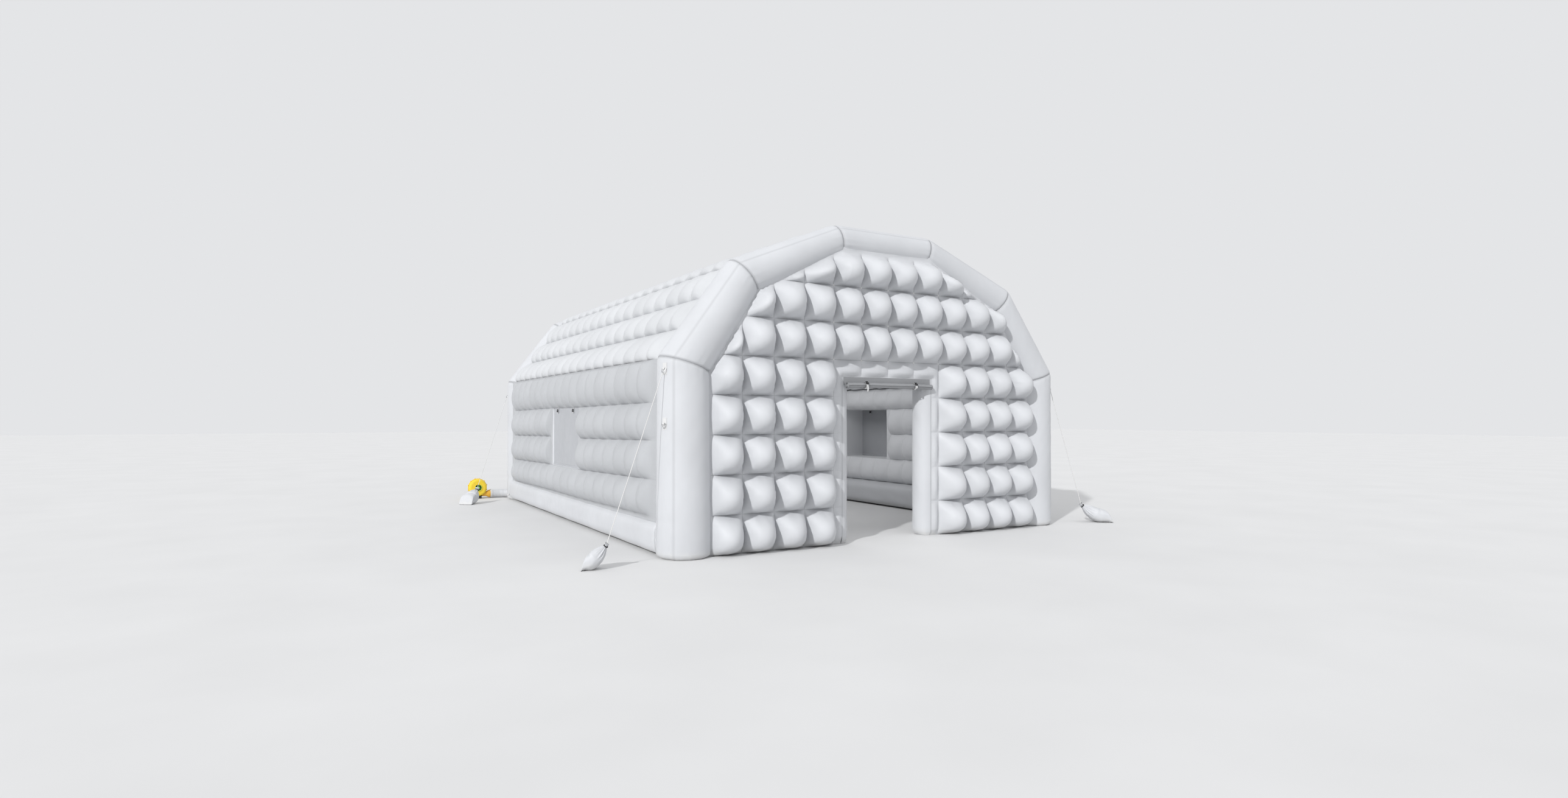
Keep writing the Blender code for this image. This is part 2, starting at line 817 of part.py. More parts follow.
def door_curtain():
    """The curtain: the cloth between its sewn top and its roll, the roll, and the straps round it."""
    solid("door_curtain_sheet", box((-curtain_half_width, curtain_front_y, roll_height),
                                    (curtain_half_width, curtain_back_y, curtain_top)), cloth)
    curtain_roll()
    roll_strap("left", -strap_offset)
    roll_strap("right", strap_offset)


door_curtain()


# Windows

def window_cover(label, side):
    """The cloth over a window and the hem bar that it rolls up on, resting on the sill."""
    hem_base = window_bottom + clearance
    cover_base = hem_base + hem_height + clearance
    reach = window_half_width - clearance
    solid("window_cover_" + label,
          box((-cover_thickness / 2, -reach, 0.0),
              (cover_thickness / 2, reach, window_top - clearance - cover_base)),
          lining, (side * cover_x, 0.0, cover_base))
    bar_reach = window_half_width - hem_side_gap
    solid("window_hem_" + label,
          box((-hem_depth / 2, -bar_reach, 0.0), (hem_depth / 2, bar_reach, hem_height), hem_rounding),
          webbing, (side * cover_x, 0.0, hem_base))


window_cover("left", -1)
window_cover("right", 1)


# Anchors and their rings

def post_radius_at(height):
    """The radius of a post at a height."""
    return post_radius + (eave_radius - post_radius) * height / eave_height


def ring_points():
    """A D with its straight bar along Y at the origin and its bow hanging down."""
    bow = arc((0.0, 0.0), 1.0, 0.0, math.pi, ring_arc_points)
    return [(0.0, ring_width / 2 * across, -ring_drop * down) for across, down in bow]


def anchor(label, side_x, side_y, height, pull):
    """A patch on a post with a webbing tab and a steel ring; gives the lowest point of the ring's bow."""
    turn = math.atan2(side_y * math.sin(anchor_turn), side_x * math.cos(anchor_turn))
    radial = Vector((math.cos(turn), math.sin(turn), 0.0))
    seat = post_radius_at(height - patch_height / 2) * math.cos(math.pi / tube_sides) + seat_allowance
    place = Vector((side_x * post_x, side_y * post_y, height)) + radial * seat
    angle = (0.0, 0.0, turn)
    bar = patch_thickness + tab_reach
    half = tab_width / 2
    patch = solid("anchor_patch_" + label,
                  box((0.0, -patch_width / 2, -patch_height / 2), (patch_thickness, patch_width / 2, patch_height / 2),
                      patch_rounding), webbing, place, angle)
    neck = box((patch_thickness / 2, -half, -tab_radius / 2), (bar, half, tab_radius / 2))
    tab = cylinder((bar, -half, 0.0), (bar, half, 0.0), tab_radius, sides=tab_sides)
    bore = cylinder((bar, -tab_width, 0.0), (bar, tab_width, 0.0), ring_bar_radius + ring_bore_clearance,
                    sides=tab_sides)
    combine(patch, cutter("tab_neck_" + label, neck, place, angle), "UNION")
    combine(patch, cutter("tab_" + label, tab, place, angle), "UNION")
    combine(patch, cutter("tab_bore_" + label, bore, place, angle))
    pivot = place + radial * bar
    wire("anchor_ring_" + label, ring_points(), ring_bar_radius, steel, pivot, (0.0, -pull, turn), cyclic=True)
    return pivot + (radial * math.sin(pull) - up * math.cos(pull)) * ring_drop


def bezier(start, guide, end, count):
    """Evenly stepped points on a smooth curve from a start past a guide to an end."""
    steps = [index / (count - 1) for index in range(count)]
    return [start * (1 - t) ** 2 + guide * 2 * t * (1 - t) + end * t ** 2 for t in steps]


def sandbag(name, place, size, neck):
    """A tied sack on the ground: oval rings from its flat bottom up to the mouth above its neck."""
    place, neck = Vector((*place, 0.0)), Vector((*neck, 0.0))
    rings = []
    for height_share, width_share, neck_share in bag_ring_shares:
        centre = place.lerp(neck, neck_share) + up * bag_height * height_share
        ring = []
        for across, ahead in arc((0.0, 0.0), width_share, 0.0, 2 * math.pi, bag_sides)[:-1]:
            ring.append(centre + Vector((across * size[0] / 2, ahead * size[1] / 2, 0.0)))
        rings.append(ring)
    solid(name, loft(rings), cloth, smooth_angle=math.radians(60))
    return neck + up * bag_height


def guy_rope(name, ring_low, mouth):
    """A rope from a ring down to the mouth of a sandbag, with a little sag."""
    direction = (mouth - ring_low).normalized()
    tilt = math.sqrt(1 - direction.z ** 2)
    start = ring_low + direction * (ring_bar_radius + clearance)
    end = mouth - direction * (rope_radius * tilt + clearance) / -direction.z
    guide = (start + end) / 2 - up * rope_sag
    wire(name, bezier(start, guide, end, rope_points), rope_radius, webbing)


def anchors_and_ropes():
    """Rings on the four posts, a spare ring half way up the front left one, three ropes and three sandbags."""
    front_left = anchor("front_left", -1, -1, front_left_anchor, ring_pull)
    front_right = anchor("front_right", 1, -1, front_right_anchor, ring_pull)
    back_left = anchor("back_left", -1, 1, back_anchor, ring_pull)
    anchor("back_right", 1, 1, back_anchor, 0.0)
    anchor("front_left_middle", -1, -1, post_ring_height, 0.0)
    guy_rope("guy_rope_front_left", front_left,
             sandbag("sandbag_front_left", left_bag_place, left_bag_size, left_bag_neck))
    guy_rope("guy_rope_front_right", front_right,
             sandbag("sandbag_front_right", right_bag_place, right_bag_size, right_bag_neck))
    guy_rope("guy_rope_back_left", back_left,
             sandbag("sandbag_back_left", back_bag_place, back_bag_size, back_bag_neck))


anchors_and_ropes()


# Blower. Its turned pieces are drawn about a local Z that points to the front

blower_centre = Vector((blower_x, blower_seam_y, blower_axis_height))
front_turn = (math.pi / 2, 0.0, 0.0)
air_tube_height = air_tube_radius + air_tube_lift


def shoulder(radius, depth, rounding):
    """The rounded shoulder of a shell, from its end face out to its side."""
    return arc((radius - rounding, depth - rounding), rounding, math.pi / 2, 0.0, shoulder_steps)


def blower_shells():
    """The front shell with its intake collar, and the rear shell with switch box, cable gland and rim clips."""
    inner_radius = housing_radius - housing_wall
    inner_rounding = housing_shoulder - housing_wall
    seam = clearance / 2
    front_profile = [(intake_radius, housing_depth + intake_lip),
                     (intake_radius + housing_wall, housing_depth + intake_lip),
                     (intake_radius + housing_wall, housing_depth),
                     *shoulder(housing_radius, housing_depth, housing_shoulder),
                     (housing_radius, flange_thickness), (flange_radius, flange_thickness),
                     (flange_radius, seam), (inner_radius, seam),
                     *reversed(shoulder(inner_radius, housing_depth - housing_wall, inner_rounding)),
                     (intake_radius, housing_depth - housing_wall)]
    front = turned("blower_front_shell", front_profile, yellow_plastic, blower_centre)
    back = shoulder(housing_radius, back_depth, housing_shoulder)
    inner_back = shoulder(inner_radius, back_depth - housing_wall, inner_rounding)
    rear_profile = [(0.0, housing_wall - back_depth),
                    *((radius, -along) for radius, along in inner_back),
                    (inner_radius, -seam), (flange_radius, -seam), (flange_radius, -flange_thickness),
                    (housing_radius, -flange_thickness),
                    *((radius, -along) for radius, along in reversed(back)), (0.0, -back_depth)]
    rear = turned("blower_rear_shell", rear_profile, yellow_plastic, blower_centre, closed=False)
    combine(rear, cutter("rim_clips", rim_clips(), blower_centre, front_turn), "UNION")
    combine(rear, cutter("switch_box", switch_box(), blower_centre), "UNION")
    combine(rear, cutter("switch_pocket", switch_pocket(), blower_centre))
    gland_start = (gland_side, back_depth - housing_wall / 2, -gland_drop)
    gland_end = (gland_side, back_depth + gland_length, -gland_drop)
    combine(rear, cutter("cable_gland", cylinder(gland_start, gland_end, gland_radius, sides=tab_sides),
                         blower_centre), "UNION")
    bore = cutter("outlet_bore", outlet_loft(-outlet_wall, housing_wall + outlet_end_wall), outlet_place())
    combine(front, bore)
    combine(rear, bore)
    return bore


def rim_clips():
    """Clips moulded on the rear rim that hook over the front one; none where the outlet leaves."""
    mesh_data = bmesh.new()
    inner, outer = flange_radius - clip_overlap, flange_radius + clip_height
    hook = flange_radius + clearance
    reach = flange_thickness + clip_reach
    profile = ((inner, -reach), (outer, -reach), (outer, reach), (hook, reach), (hook, -clearance),
               (inner, -clearance))
    for index in range(clip_count):
        if index == outlet_clip:
            continue
        turn = Matrix.Rotation(2 * math.pi * (index + 1 / 2) / clip_count, 4, "Z")
        rings = [[turn @ Vector((radius, across, along)) for radius, along in profile]
                 for across in (-clip_width / 2, clip_width / 2)]
        add_loft(mesh_data, rings)
    return mesh_data


def switch_box():
    """The raised block on the back of the blower that carries the switch."""
    return box((-switch_box_width / 2, back_depth - housing_wall / 2, switch_rise - switch_box_height / 2),
               (switch_box_width / 2, back_depth + switch_box_depth, switch_rise + switch_box_height / 2))


def switch_pocket():
    """The pocket that the rocker sits in."""
    face = back_depth + switch_box_depth
    half_width = rocker_width / 2 + rocker_gap
    half_length = rocker_length / 2 + rocker_end_gap
    return box((-half_width, face - pocket_depth, switch_rise - half_length),
               (half_width, face + cut_overrun, switch_rise + half_length))


def blower_switch():
    """The rocker, tilted on its pivot to one of its two positions."""
    pivot = blower_centre + Vector((0.0, back_depth + switch_box_depth - rocker_sink, switch_rise))
    half = Vector((rocker_width, rocker_depth, rocker_length)) / 2
    solid("blower_switch", box(-half, half, rocker_rounding), black_plastic, pivot, (rocker_tilt, 0.0, 0.0))


def blower_grille():
    """The intake guard: a disc with a ring of sector slots round its centre."""
    radius = intake_radius - clearance
    disc = solid("blower_grille", cylinder((0.0, 0.0, 0.0), (0.0, 0.0, grille_thickness), radius, sides=grille_sides),
                 green_plastic, blower_centre + Vector((0.0, -housing_depth, 0.0)), front_turn)
    mesh_data = bmesh.new()
    outer = grille_hub + grille_gap
    for index in range(grille_bars):
        turn = Matrix.Rotation(2 * math.pi * index / grille_bars, 4, "Z")
        corners = []
        for corner_radius, side in ((grille_hub, -1), (outer, -1), (outer, 1), (grille_hub, 1)):
            half = corner_radius * math.tan(math.pi / grille_bars) - grille_bar / 2
            corners.append((corner_radius, side * half))
        rings = [[turn @ Vector((*corner, along)) for corner in corners]
                 for along in (-cut_overrun, grille_thickness + cut_overrun)]
        add_loft(mesh_data, rings)
    combine(disc, cutter("grille_slots", mesh_data, disc.location, front_turn))


def blower_impeller():
    """The fan wheel: a hub and back plate with leaning blades, on the motor's shaft."""
    bore = shaft_radius + shaft_clearance
    profile = ((0.0, impeller_depth), (impeller_hub_radius - blade_thickness, impeller_depth),
               (impeller_hub_radius, impeller_depth - blade_thickness), (impeller_hub_radius, impeller_plate),
               (impeller_radius, impeller_plate), (impeller_radius, 0.0), (bore, 0.0), (bore, shaft_bore_depth),
               (0.0, shaft_bore_depth))
    place = blower_centre + Vector((0.0, impeller_back, 0.0))
    wheel = turned("blower_impeller", profile, black_plastic, place, closed=False)
    mesh_data = bmesh.new()
    for index in range(impeller_blades):
        turn = (Matrix.Rotation(2 * math.pi * index / impeller_blades, 4, "Z")
                @ Matrix.Translation((blade_start, 0.0, 0.0)) @ Matrix.Rotation(blade_lean, 4, "Z"))
        reach = (impeller_radius - blade_start) / math.cos(blade_lean) * blade_reach_share
        add_box(mesh_data, (0.0, -blade_thickness / 2, impeller_plate - blade_sink),
                (reach, blade_thickness / 2, impeller_depth), turn)
    combine(wheel, cutter("impeller_blades", mesh_data, place, front_turn), "UNION")


def blower_motor():
    """The motor can on the inside of the rear shell, with its shaft in the fan wheel's bore."""
    back = housing_wall - back_depth + clearance
    front = back + motor_depth
    profile = ((0.0, front + shaft_length), (shaft_radius, front + shaft_length), (shaft_radius, front),
               *shoulder(motor_radius, front, motor_rounding), (motor_radius, back), (0.0, back))
    turned("blower_motor", profile, steel, blower_centre, steps=motor_sides, closed=False)


def outlet_place():
    """The middle of the outlet's start, level with the air tube."""
    return Vector((blower_x, blower_seam_y, air_tube_height))


def outlet_loft(extra, lead=0.0):
    """The outlet's form, from a rectangle to a circle; a smaller copy with a lead at both ends is its bore."""
    half_depth, half_height = outlet_depth / 2 + extra, outlet_height / 2 + extra
    round_radius = outlet_radius + extra
    over = cut_overrun if extra else 0.0
    rings = []
    stations = ((outlet_start + (lead if extra else 0.0), 0.0), (outlet_straight, 0.0), (outlet_turn, 1.0),
                (outlet_end + over, 1.0))
    for along, round_share in stations:
        ring = []
        for side in range(outlet_sides):
            angle = 2 * math.pi * (side + 1 / 2) / outlet_sides
            across, rise = math.cos(angle), math.sin(angle)
            square = 1 / max(abs(across), abs(rise))
            flat = Vector((along, across * square * half_depth, rise * square * half_height))
            circle = Vector((along, across * round_radius, rise * round_radius))
            ring.append(flat.lerp(circle, round_share))
        rings.append(ring)
    return loft(rings)


def blower_outlet(bore):
    """The duct from the housing to the air tube, hollow, seated round the housing and its rim."""
    outlet = solid("blower_outlet", outlet_loft(0.0), gold_plastic, outlet_place())
    combine(outlet, bore)
    for label, radius, reach in (("housing_seat", housing_radius, housing_depth),
                                 ("rim_seat", flange_radius + clip_height, flange_thickness + clip_reach)):
        shape = cylinder((0.0, -reach - cutter_clearance, 0.0), (0.0, reach + cutter_clearance, 0.0),
                         radius + cutter_clearance, sides=seat_sides)
        combine(outlet, cutter(label, shape, blower_centre))


def blower_foot():
    """The cradle under the housing, hollowed to the housing and its rim."""
    foot = solid("blower_foot", box((-foot_left, -foot_depth / 2, 0.0), (foot_right, foot_depth / 2, foot_height),
                                    foot_rounding), black_plastic, (blower_x, blower_seam_y, 0.0))
    for label in ("housing_seat", "rim_seat"):
        combine(foot, bpy.data.objects[label])


def air_tube():
    """The cloth tube along the ground from the outlet into the back left post, and the strap that ties it on."""
    start = outlet_place() + Vector((outlet_end + clearance, 0.0, 0.0))
    guide = Vector((air_tube_bend_x, start.y, start.z))
    end = Vector((*air_tube_end, start.z))
    straight = start + Vector((air_tube_straight, 0.0, 0.0))
    route = [start, *bezier(straight, guide, end, air_tube_points)]
    rings = []
    for index, point in enumerate(route):
        forward = (route[min(index + 1, air_tube_points)] - route[max(index - 1, 0)]).normalized()
        sideways = forward.cross(up)
        angles = [2 * math.pi * (side + 1 / 2) / air_tube_sides for side in range(air_tube_sides)]
        rings.append([point + (sideways * math.cos(angle) + up * math.sin(angle)) * air_tube_radius
                      for angle in angles])
    combine(solid("air_tube", loft(rings), cloth), back_arch_cutter)
    inner = (air_tube_radius + clearance) / math.cos(math.pi / air_strap_sides)
    outer = inner + air_strap_thickness
    half = air_strap_width / 2
    turned("air_tube_strap", ((outer, half), (outer, -half), (inner, -half), (inner, half)), webbing,
           start + Vector((air_strap_set, 0.0, 0.0)), steps=air_strap_sides, rotation=(0.0, math.pi / 2, 0.0))


def build_blower():
    """All of the blower, and the air tube."""
    bore = blower_shells()
    blower_switch()
    blower_grille()
    blower_impeller()
    blower_motor()
    blower_outlet(bore)
    blower_foot()
    air_tube()


build_blower()
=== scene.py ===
"""Looks of an inflatable tent: quilted walls and roof, welded air tubes, curtain, windows, ropes and blower.

Every class holds the sizes of one sub-assembly in metres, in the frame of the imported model, and its build method
makes the pieces that stand for that model's nodes.
"""
import logging
import math
from dataclasses import dataclass, field
from enum import Enum
from functools import partial
from typing import Callable, Optional, Sequence

import bmesh
import bpy
import numpy as np
from mathutils import Matrix, Vector


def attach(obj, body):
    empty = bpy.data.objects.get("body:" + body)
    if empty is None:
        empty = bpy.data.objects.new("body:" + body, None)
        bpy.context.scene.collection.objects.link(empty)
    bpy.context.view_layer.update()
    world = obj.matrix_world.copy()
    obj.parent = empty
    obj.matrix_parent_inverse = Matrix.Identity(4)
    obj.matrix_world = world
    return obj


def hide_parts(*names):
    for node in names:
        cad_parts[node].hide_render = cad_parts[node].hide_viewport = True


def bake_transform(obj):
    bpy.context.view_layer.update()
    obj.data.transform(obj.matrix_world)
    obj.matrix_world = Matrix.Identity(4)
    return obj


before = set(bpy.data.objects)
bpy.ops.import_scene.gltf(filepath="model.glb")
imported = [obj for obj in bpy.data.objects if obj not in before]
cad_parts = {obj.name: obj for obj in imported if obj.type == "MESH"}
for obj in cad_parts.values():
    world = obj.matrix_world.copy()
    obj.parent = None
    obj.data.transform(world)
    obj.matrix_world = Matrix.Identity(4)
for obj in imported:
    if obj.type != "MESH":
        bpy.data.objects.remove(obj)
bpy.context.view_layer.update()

log = logging.getLogger("inflatable_tent")

Grid = np.ndarray
Point = tuple[float, float, float]
Weight = Callable[[Grid, Grid], Grid]
Placement = Callable[[Grid, Grid, Grid], Grid]

TENT = "tent"
UP = np.array((0.0, 0.0, 1.0))


class Side(Enum):
    """The left or the right of the tent, seen from in front of its doorway."""

    LEFT = -1
    RIGHT = 1

    @property
    def label(self) -> str:
        """The side as it stands in the names of pieces."""
        return self.name.lower()


class Skin(Enum):
    """The skin of a double wall that faces the weather, or the one that faces the room."""

    OUTER = 1
    INNER = -1

    @property
    def label(self) -> str:
        """The skin as it stands in the names of pieces."""
        return self.name.lower()


# Materials

@dataclass(frozen=True)
class Grain:
    """A noise in metres of the object, and the relief that it gives where it is used as a bump."""

    scale: float
    detail: float = 3.0
    stretch: Point = (1.0, 1.0, 1.0)
    strength: float = 0.0
    distance: float = 0.0


def scaled(colour: Point, factor: float, lift: float = 0.0) -> Point:
    """A colour times a factor, plus the same lift in each channel."""
    return tuple(channel * factor + lift for channel in colour)


class NodePad:
    """A material in the making, with the nodes that its finish needs."""

    noise_middle: tuple[float, float] = (0.3, 0.7)

    def __init__(self, name: str) -> None:
        """Starts a material with a Principled shader.

        Args:
            name: The material's name.
        """
        self.material = bpy.data.materials.new(name)
        self.material.use_nodes = True
        self.tree = self.material.node_tree

    def fill(self, node: bpy.types.Node, inputs: dict) -> None:
        """Gives a node its inputs.

        Args:
            node: The node.
            inputs: A socket or a plain value for each input, by its name or number.
        """
        for label, value in inputs.items():
            if isinstance(value, bpy.types.NodeSocket):
                self.tree.links.new(value, node.inputs[label])
            else:
                node.inputs[label].default_value = value

    def shade(self, inputs: dict) -> bpy.types.Material:
        """Gives the shader its inputs, as fill does, and returns the finished material."""
        self.fill(self.tree.nodes["Principled BSDF"], inputs)
        return self.material

    def add(self, kind: str, result: str, inputs: dict) -> bpy.types.NodeSocket:
        """Adds a node.

        Args:
            kind: Its type, without the prefix that all shader nodes share.
            result: The output that is wanted.
            inputs: Its inputs, as for fill.

        Returns:
            The output.
        """
        node = self.tree.nodes.new("ShaderNode" + kind)
        self.fill(node, inputs)
        return node.outputs[result]

    def place(self) -> bpy.types.NodeSocket:
        """The place on the object, in metres."""
        return self.add("TexCoord", "Object", {})

    def noise(self, grain: Grain) -> bpy.types.NodeSocket:
        """Adds a noise and returns its factor."""
        vector = self.add("Mapping", "Vector", {"Scale": grain.stretch, "Vector": self.place()})
        return self.add("TexNoise", "Fac", {"Scale": grain.scale, "Detail": grain.detail, "Vector": vector})

    def ramp(self, value: bpy.types.NodeSocket, source: tuple[float, float], target: tuple[float, float]
             ) -> bpy.types.NodeSocket:
        """Maps a number from the source range to the target range."""
        return self.add("MapRange", "Result", {"From Min": source[0], "From Max": source[1], "To Min": target[0],
                                               "To Max": target[1], "Value": value})

    def spread(self, grain: Grain, low: float, high: float) -> bpy.types.NodeSocket:
        """Adds a noise whose middle is spread over the numbers from low to high."""
        return self.ramp(self.noise(grain), self.noise_middle, (low, high))

    def multiply(self, first: bpy.types.NodeSocket, second: bpy.types.NodeSocket) -> bpy.types.NodeSocket:
        """Multiplies two numbers.

        Args:
            first: The first number.
            second: The second number.

        Returns:
            Their product.
        """
        node = self.tree.nodes.new("ShaderNodeMath")
        node.operation = "MULTIPLY"
        self.fill(node, {0: first, 1: second})
        return node.outputs["Value"]

    def attribute(self, name: str) -> bpy.types.NodeSocket:
        """The value that the mesh stores at its points, or 0.

        Args:
            name: The name it is stored under.

        Returns:
            The value.
        """
        node = self.tree.nodes.new("ShaderNodeAttribute")
        node.attribute_name = name
        return node.outputs["Fac"]

    def mix(self, factor: bpy.types.NodeSocket, first: object, second: object) -> bpy.types.NodeSocket:
        """Mixes two colours, each a socket or three numbers.

        Args:
            factor: The share of the second colour.
            first: The first colour.
            second: The second colour.

        Returns:
            The mixed colour.
        """
        node = self.tree.nodes.new("ShaderNodeMix")
        node.data_type = "RGBA"
        ends = [end if isinstance(end, bpy.types.NodeSocket) else (*end, 1.0) for end in (first, second)]
        self.fill(node, {"Factor": factor, "A": ends[0], "B": ends[1]})
        return node.outputs["Result"]

    def mottled(self, colour: Point, other: Point, grain: Grain, most: float = 1.0) -> bpy.types.NodeSocket:
        """A colour that passes into another one in patches, up to the largest share of it."""
        return self.mix(self.spread(grain, 0.0, most), colour, other)

    def bump(self, height: bpy.types.NodeSocket, strength: float, distance: float,
             under: Optional[bpy.types.NodeSocket] = None) -> bpy.types.NodeSocket:
        """Adds a bump of a strength from 0 to 1 and a full height in metres, on top of a coarser one."""
        inputs = {"Strength": strength, "Distance": distance, "Height": height}
        return self.add("Bump", "Normal", inputs if under is None else {**inputs, "Normal": under})


@dataclass(frozen=True)
class CoatedCloth:
    """Coated tent cloth: fine weave under a satin coat, creases, and dirt low down near the ground.

    The mesh's seam value paints shade along seams, creases and joints, and its gather value puckers it.
    """

    name: str
    colour: Point
    roughness: float = 0.55
    creases: float = 0.35
    duller: float = 0.06
    rougher: float = 0.10
    patch_shade: float = 0.93
    seam_shade: float = 0.72
    dirt: Point = (0.60, 0.59, 0.56)
    dirt_height: float = 0.10
    dirt_most: float = 0.65
    dirt_least: float = 0.2
    sheen: float = 0.08
    specular: float = 0.30
    patch_grain: Grain = Grain(1.7)
    dirt_grain: Grain = Grain(14.0, 5.0)
    coat_grain: Grain = Grain(9.0, 4.0)
    crease_grain: Grain = Grain(11.0, 4.0, (1.0, 1.0, 0.6), distance=0.006)
    gather_grain: Grain = Grain(24.0, 3.0, (0.12, 0.12, 1.0), 0.9, 0.012)
    weave_grain: Grain = Grain(900.0, 1.0, strength=0.10, distance=0.0004)

    def material(self) -> bpy.types.Material:
        """Makes the material.

        Returns:
            The material.
        """
        pad = NodePad(self.name)
        colour = pad.mottled(self.colour, scaled(self.colour, self.patch_shade), self.patch_grain)
        height = pad.add("SeparateXYZ", "Z", {"Vector": pad.place()})
        low = pad.ramp(height, (0.0, self.dirt_height), (self.dirt_most, 0.0))
        dirty = pad.multiply(low, pad.spread(self.dirt_grain, self.dirt_least, 1.0))
        colour = pad.mix(dirty, colour, self.dirt)
        # Painted shade: darker along seams, creases and joints, where the valleys and grooves lie in shadow.
        colour = pad.mix(pad.attribute("seam"), colour, scaled(self.colour, self.seam_shade))
        rough = pad.spread(self.coat_grain, self.roughness - self.duller, self.roughness + self.rougher)
        relief = pad.bump(pad.noise(self.crease_grain), self.creases, self.crease_grain.distance)
        gathers = pad.multiply(pad.attribute("gather"), pad.noise(self.gather_grain))
        relief = pad.bump(gathers, self.gather_grain.strength, self.gather_grain.distance, relief)
        weave = self.weave_grain
        relief = pad.bump(pad.noise(weave), weave.strength, weave.distance, relief)
        return pad.shade({"Base Color": colour, "Roughness": rough, "Normal": relief, "Sheen Weight": self.sheen,
                          "Specular IOR Level": self.specular})


@dataclass(frozen=True)
class Surface:
    """A finish that passes into a duller colour in patches, with an even or patchy gloss."""

    name: str
    colour: Point
    dull_factor: float = 1.0
    dull_lift: float = 0.0
    dull_most: float = 1.0
    patches: Grain = Grain(1.0)
    roughness: float = 0.8
    gloss: Optional[Grain] = None
    gloss_range: tuple[float, float] = (0.0, 0.0)
    relief: Optional[Grain] = None
    sheen: float = 0.0
    metallic: float = 0.0

    def material(self) -> bpy.types.Material:
        """Makes the material.

        Returns:
            The material.
        """
        pad = NodePad(self.name)
        dull = scaled(self.colour, self.dull_factor, self.dull_lift)
        inputs = {"Base Color": pad.mottled(self.colour, dull, self.patches, self.dull_most),
                  "Roughness": self.roughness, "Sheen Weight": self.sheen, "Metallic": self.metallic}
        if self.gloss:
            inputs["Roughness"] = pad.spread(self.gloss, *(self.roughness + step for step in self.gloss_range))
        if self.relief:
            inputs["Normal"] = pad.bump(pad.noise(self.relief), self.relief.strength, self.relief.distance)
        return pad.shade(inputs)


@dataclass(frozen=True)
class Webbing(Surface):
    """Woven webbing and rope, with ribs along its length or strands round it."""

    dull_factor: float = 0.82
    patches: Grain = Grain(700.0, 2.0)
    relief: Optional[Grain] = Grain(700.0, 2.0, strength=0.5, distance=0.0008)
    sheen: float = 0.2


@dataclass(frozen=True)
class MouldedPlastic(Surface):
    """Moulded plastic with a fine grain, a little scuffing and duller patches."""

    dull_factor: float = 0.8
    dull_lift: float = 0.03
    dull_most: float = 0.6
    patches: Grain = Grain(40.0, 5.0)
    roughness: float = 0.35
    gloss: Optional[Grain] = Grain(25.0, 4.0)
    gloss_range: tuple[float, float] = (-0.07, 0.12)
    relief: Optional[Grain] = Grain(1500.0, 1.0, strength=0.2, distance=0.0002)


@dataclass(frozen=True)
class PlatedSteel(Surface):
    """Zinc-plated or pressed steel with fine scratches."""

    dull_factor: float = 0.75
    dull_most: float = 0.7
    patches: Grain = Grain(90.0, 4.0)
    roughness: float = 0.3
    gloss: Optional[Grain] = Grain(200.0, 3.0, (1.0, 8.0, 1.0))
    gloss_range: tuple[float, float] = (-0.1, 0.2)
    metallic: float = 1.0


@dataclass(frozen=True)
class StudioFloor(Surface):
    """The plain pale floor."""

    dull_factor: float = 0.96
    patches: Grain = Grain(0.8)


class Finish:
    """The finishes of the tent, each made once."""

    cloth = CoatedCloth("white_coated_cloth", (0.56, 0.57, 0.59)).material()
    # Painted shade: the side walls' outer skin is a darker copy of the white cloth, for the weaker light on them.
    panel_cloth = CoatedCloth("white_panel_cloth", (0.43, 0.44, 0.455)).material()
    # Painted shade: the roof's outer skin is a slightly darker copy of the white cloth, toning down its light.
    roof_cloth = CoatedCloth("white_roof_cloth", (0.54, 0.55, 0.565)).material()
    # Painted light: the room side is a lighter copy of the white cloth, brightening the dim inside and the window
    # reveals.
    room_cloth = CoatedCloth("white_cloth_room_side", (0.72, 0.73, 0.75), roughness=0.5).material()
    # Painted shade: the window covers and their bars are darker, for the shade of the recessed opening.
    cover_cloth = CoatedCloth("light_cover_cloth", (0.40, 0.41, 0.43), roughness=0.5, creases=0.5).material()
    # Grey lining, darkened further as painted shade under the lintel.
    curtain_cloth = CoatedCloth("grey_curtain_cloth", (0.27, 0.275, 0.285), roughness=0.5,
                                creases=0.5).material()
    webbing = Webbing("white_webbing", (0.66, 0.66, 0.66)).material()
    rope = Webbing("white_rope", (0.68, 0.68, 0.67), patches=Grain(400.0, 2.0),
                   relief=Grain(400.0, 2.0, strength=0.5, distance=0.0008)).material()
    black = MouldedPlastic("black_moulded_plastic", (0.018, 0.018, 0.02)).material()
    yellow = MouldedPlastic("yellow_moulded_plastic", (0.86, 0.62, 0.03), roughness=0.3).material()
    gold = MouldedPlastic("orange_gold_plastic", (0.75, 0.40, 0.03)).material()
    green = MouldedPlastic("green_plastic", (0.26, 0.66, 0.12)).material()
    steel = PlatedSteel("plated_steel", (0.62, 0.63, 0.64)).material()
    floor = StudioFloor("pale_floor", (0.66, 0.66, 0.66)).material()


# Meshes

def link(name: str, data: bpy.types.ID) -> bpy.types.Object:
    """Puts a mesh, curve, lamp or camera in the scene.

    Args:
        name: The name of its object.
        data: What it shows.

    Returns:
        The object.
    """
    item = bpy.data.objects.new(name, data)
    bpy.context.scene.collection.objects.link(item)
    return item


def unit(rows: Grid) -> Grid:
    """Directions as rows, each made one long."""
    return rows / np.linalg.norm(rows, axis=1, keepdims=True)


def ring_angles(sides: int) -> Grid:
    """The angles of evenly spread points round a ring."""
    return np.arange(sides) * 2 * math.pi / sides


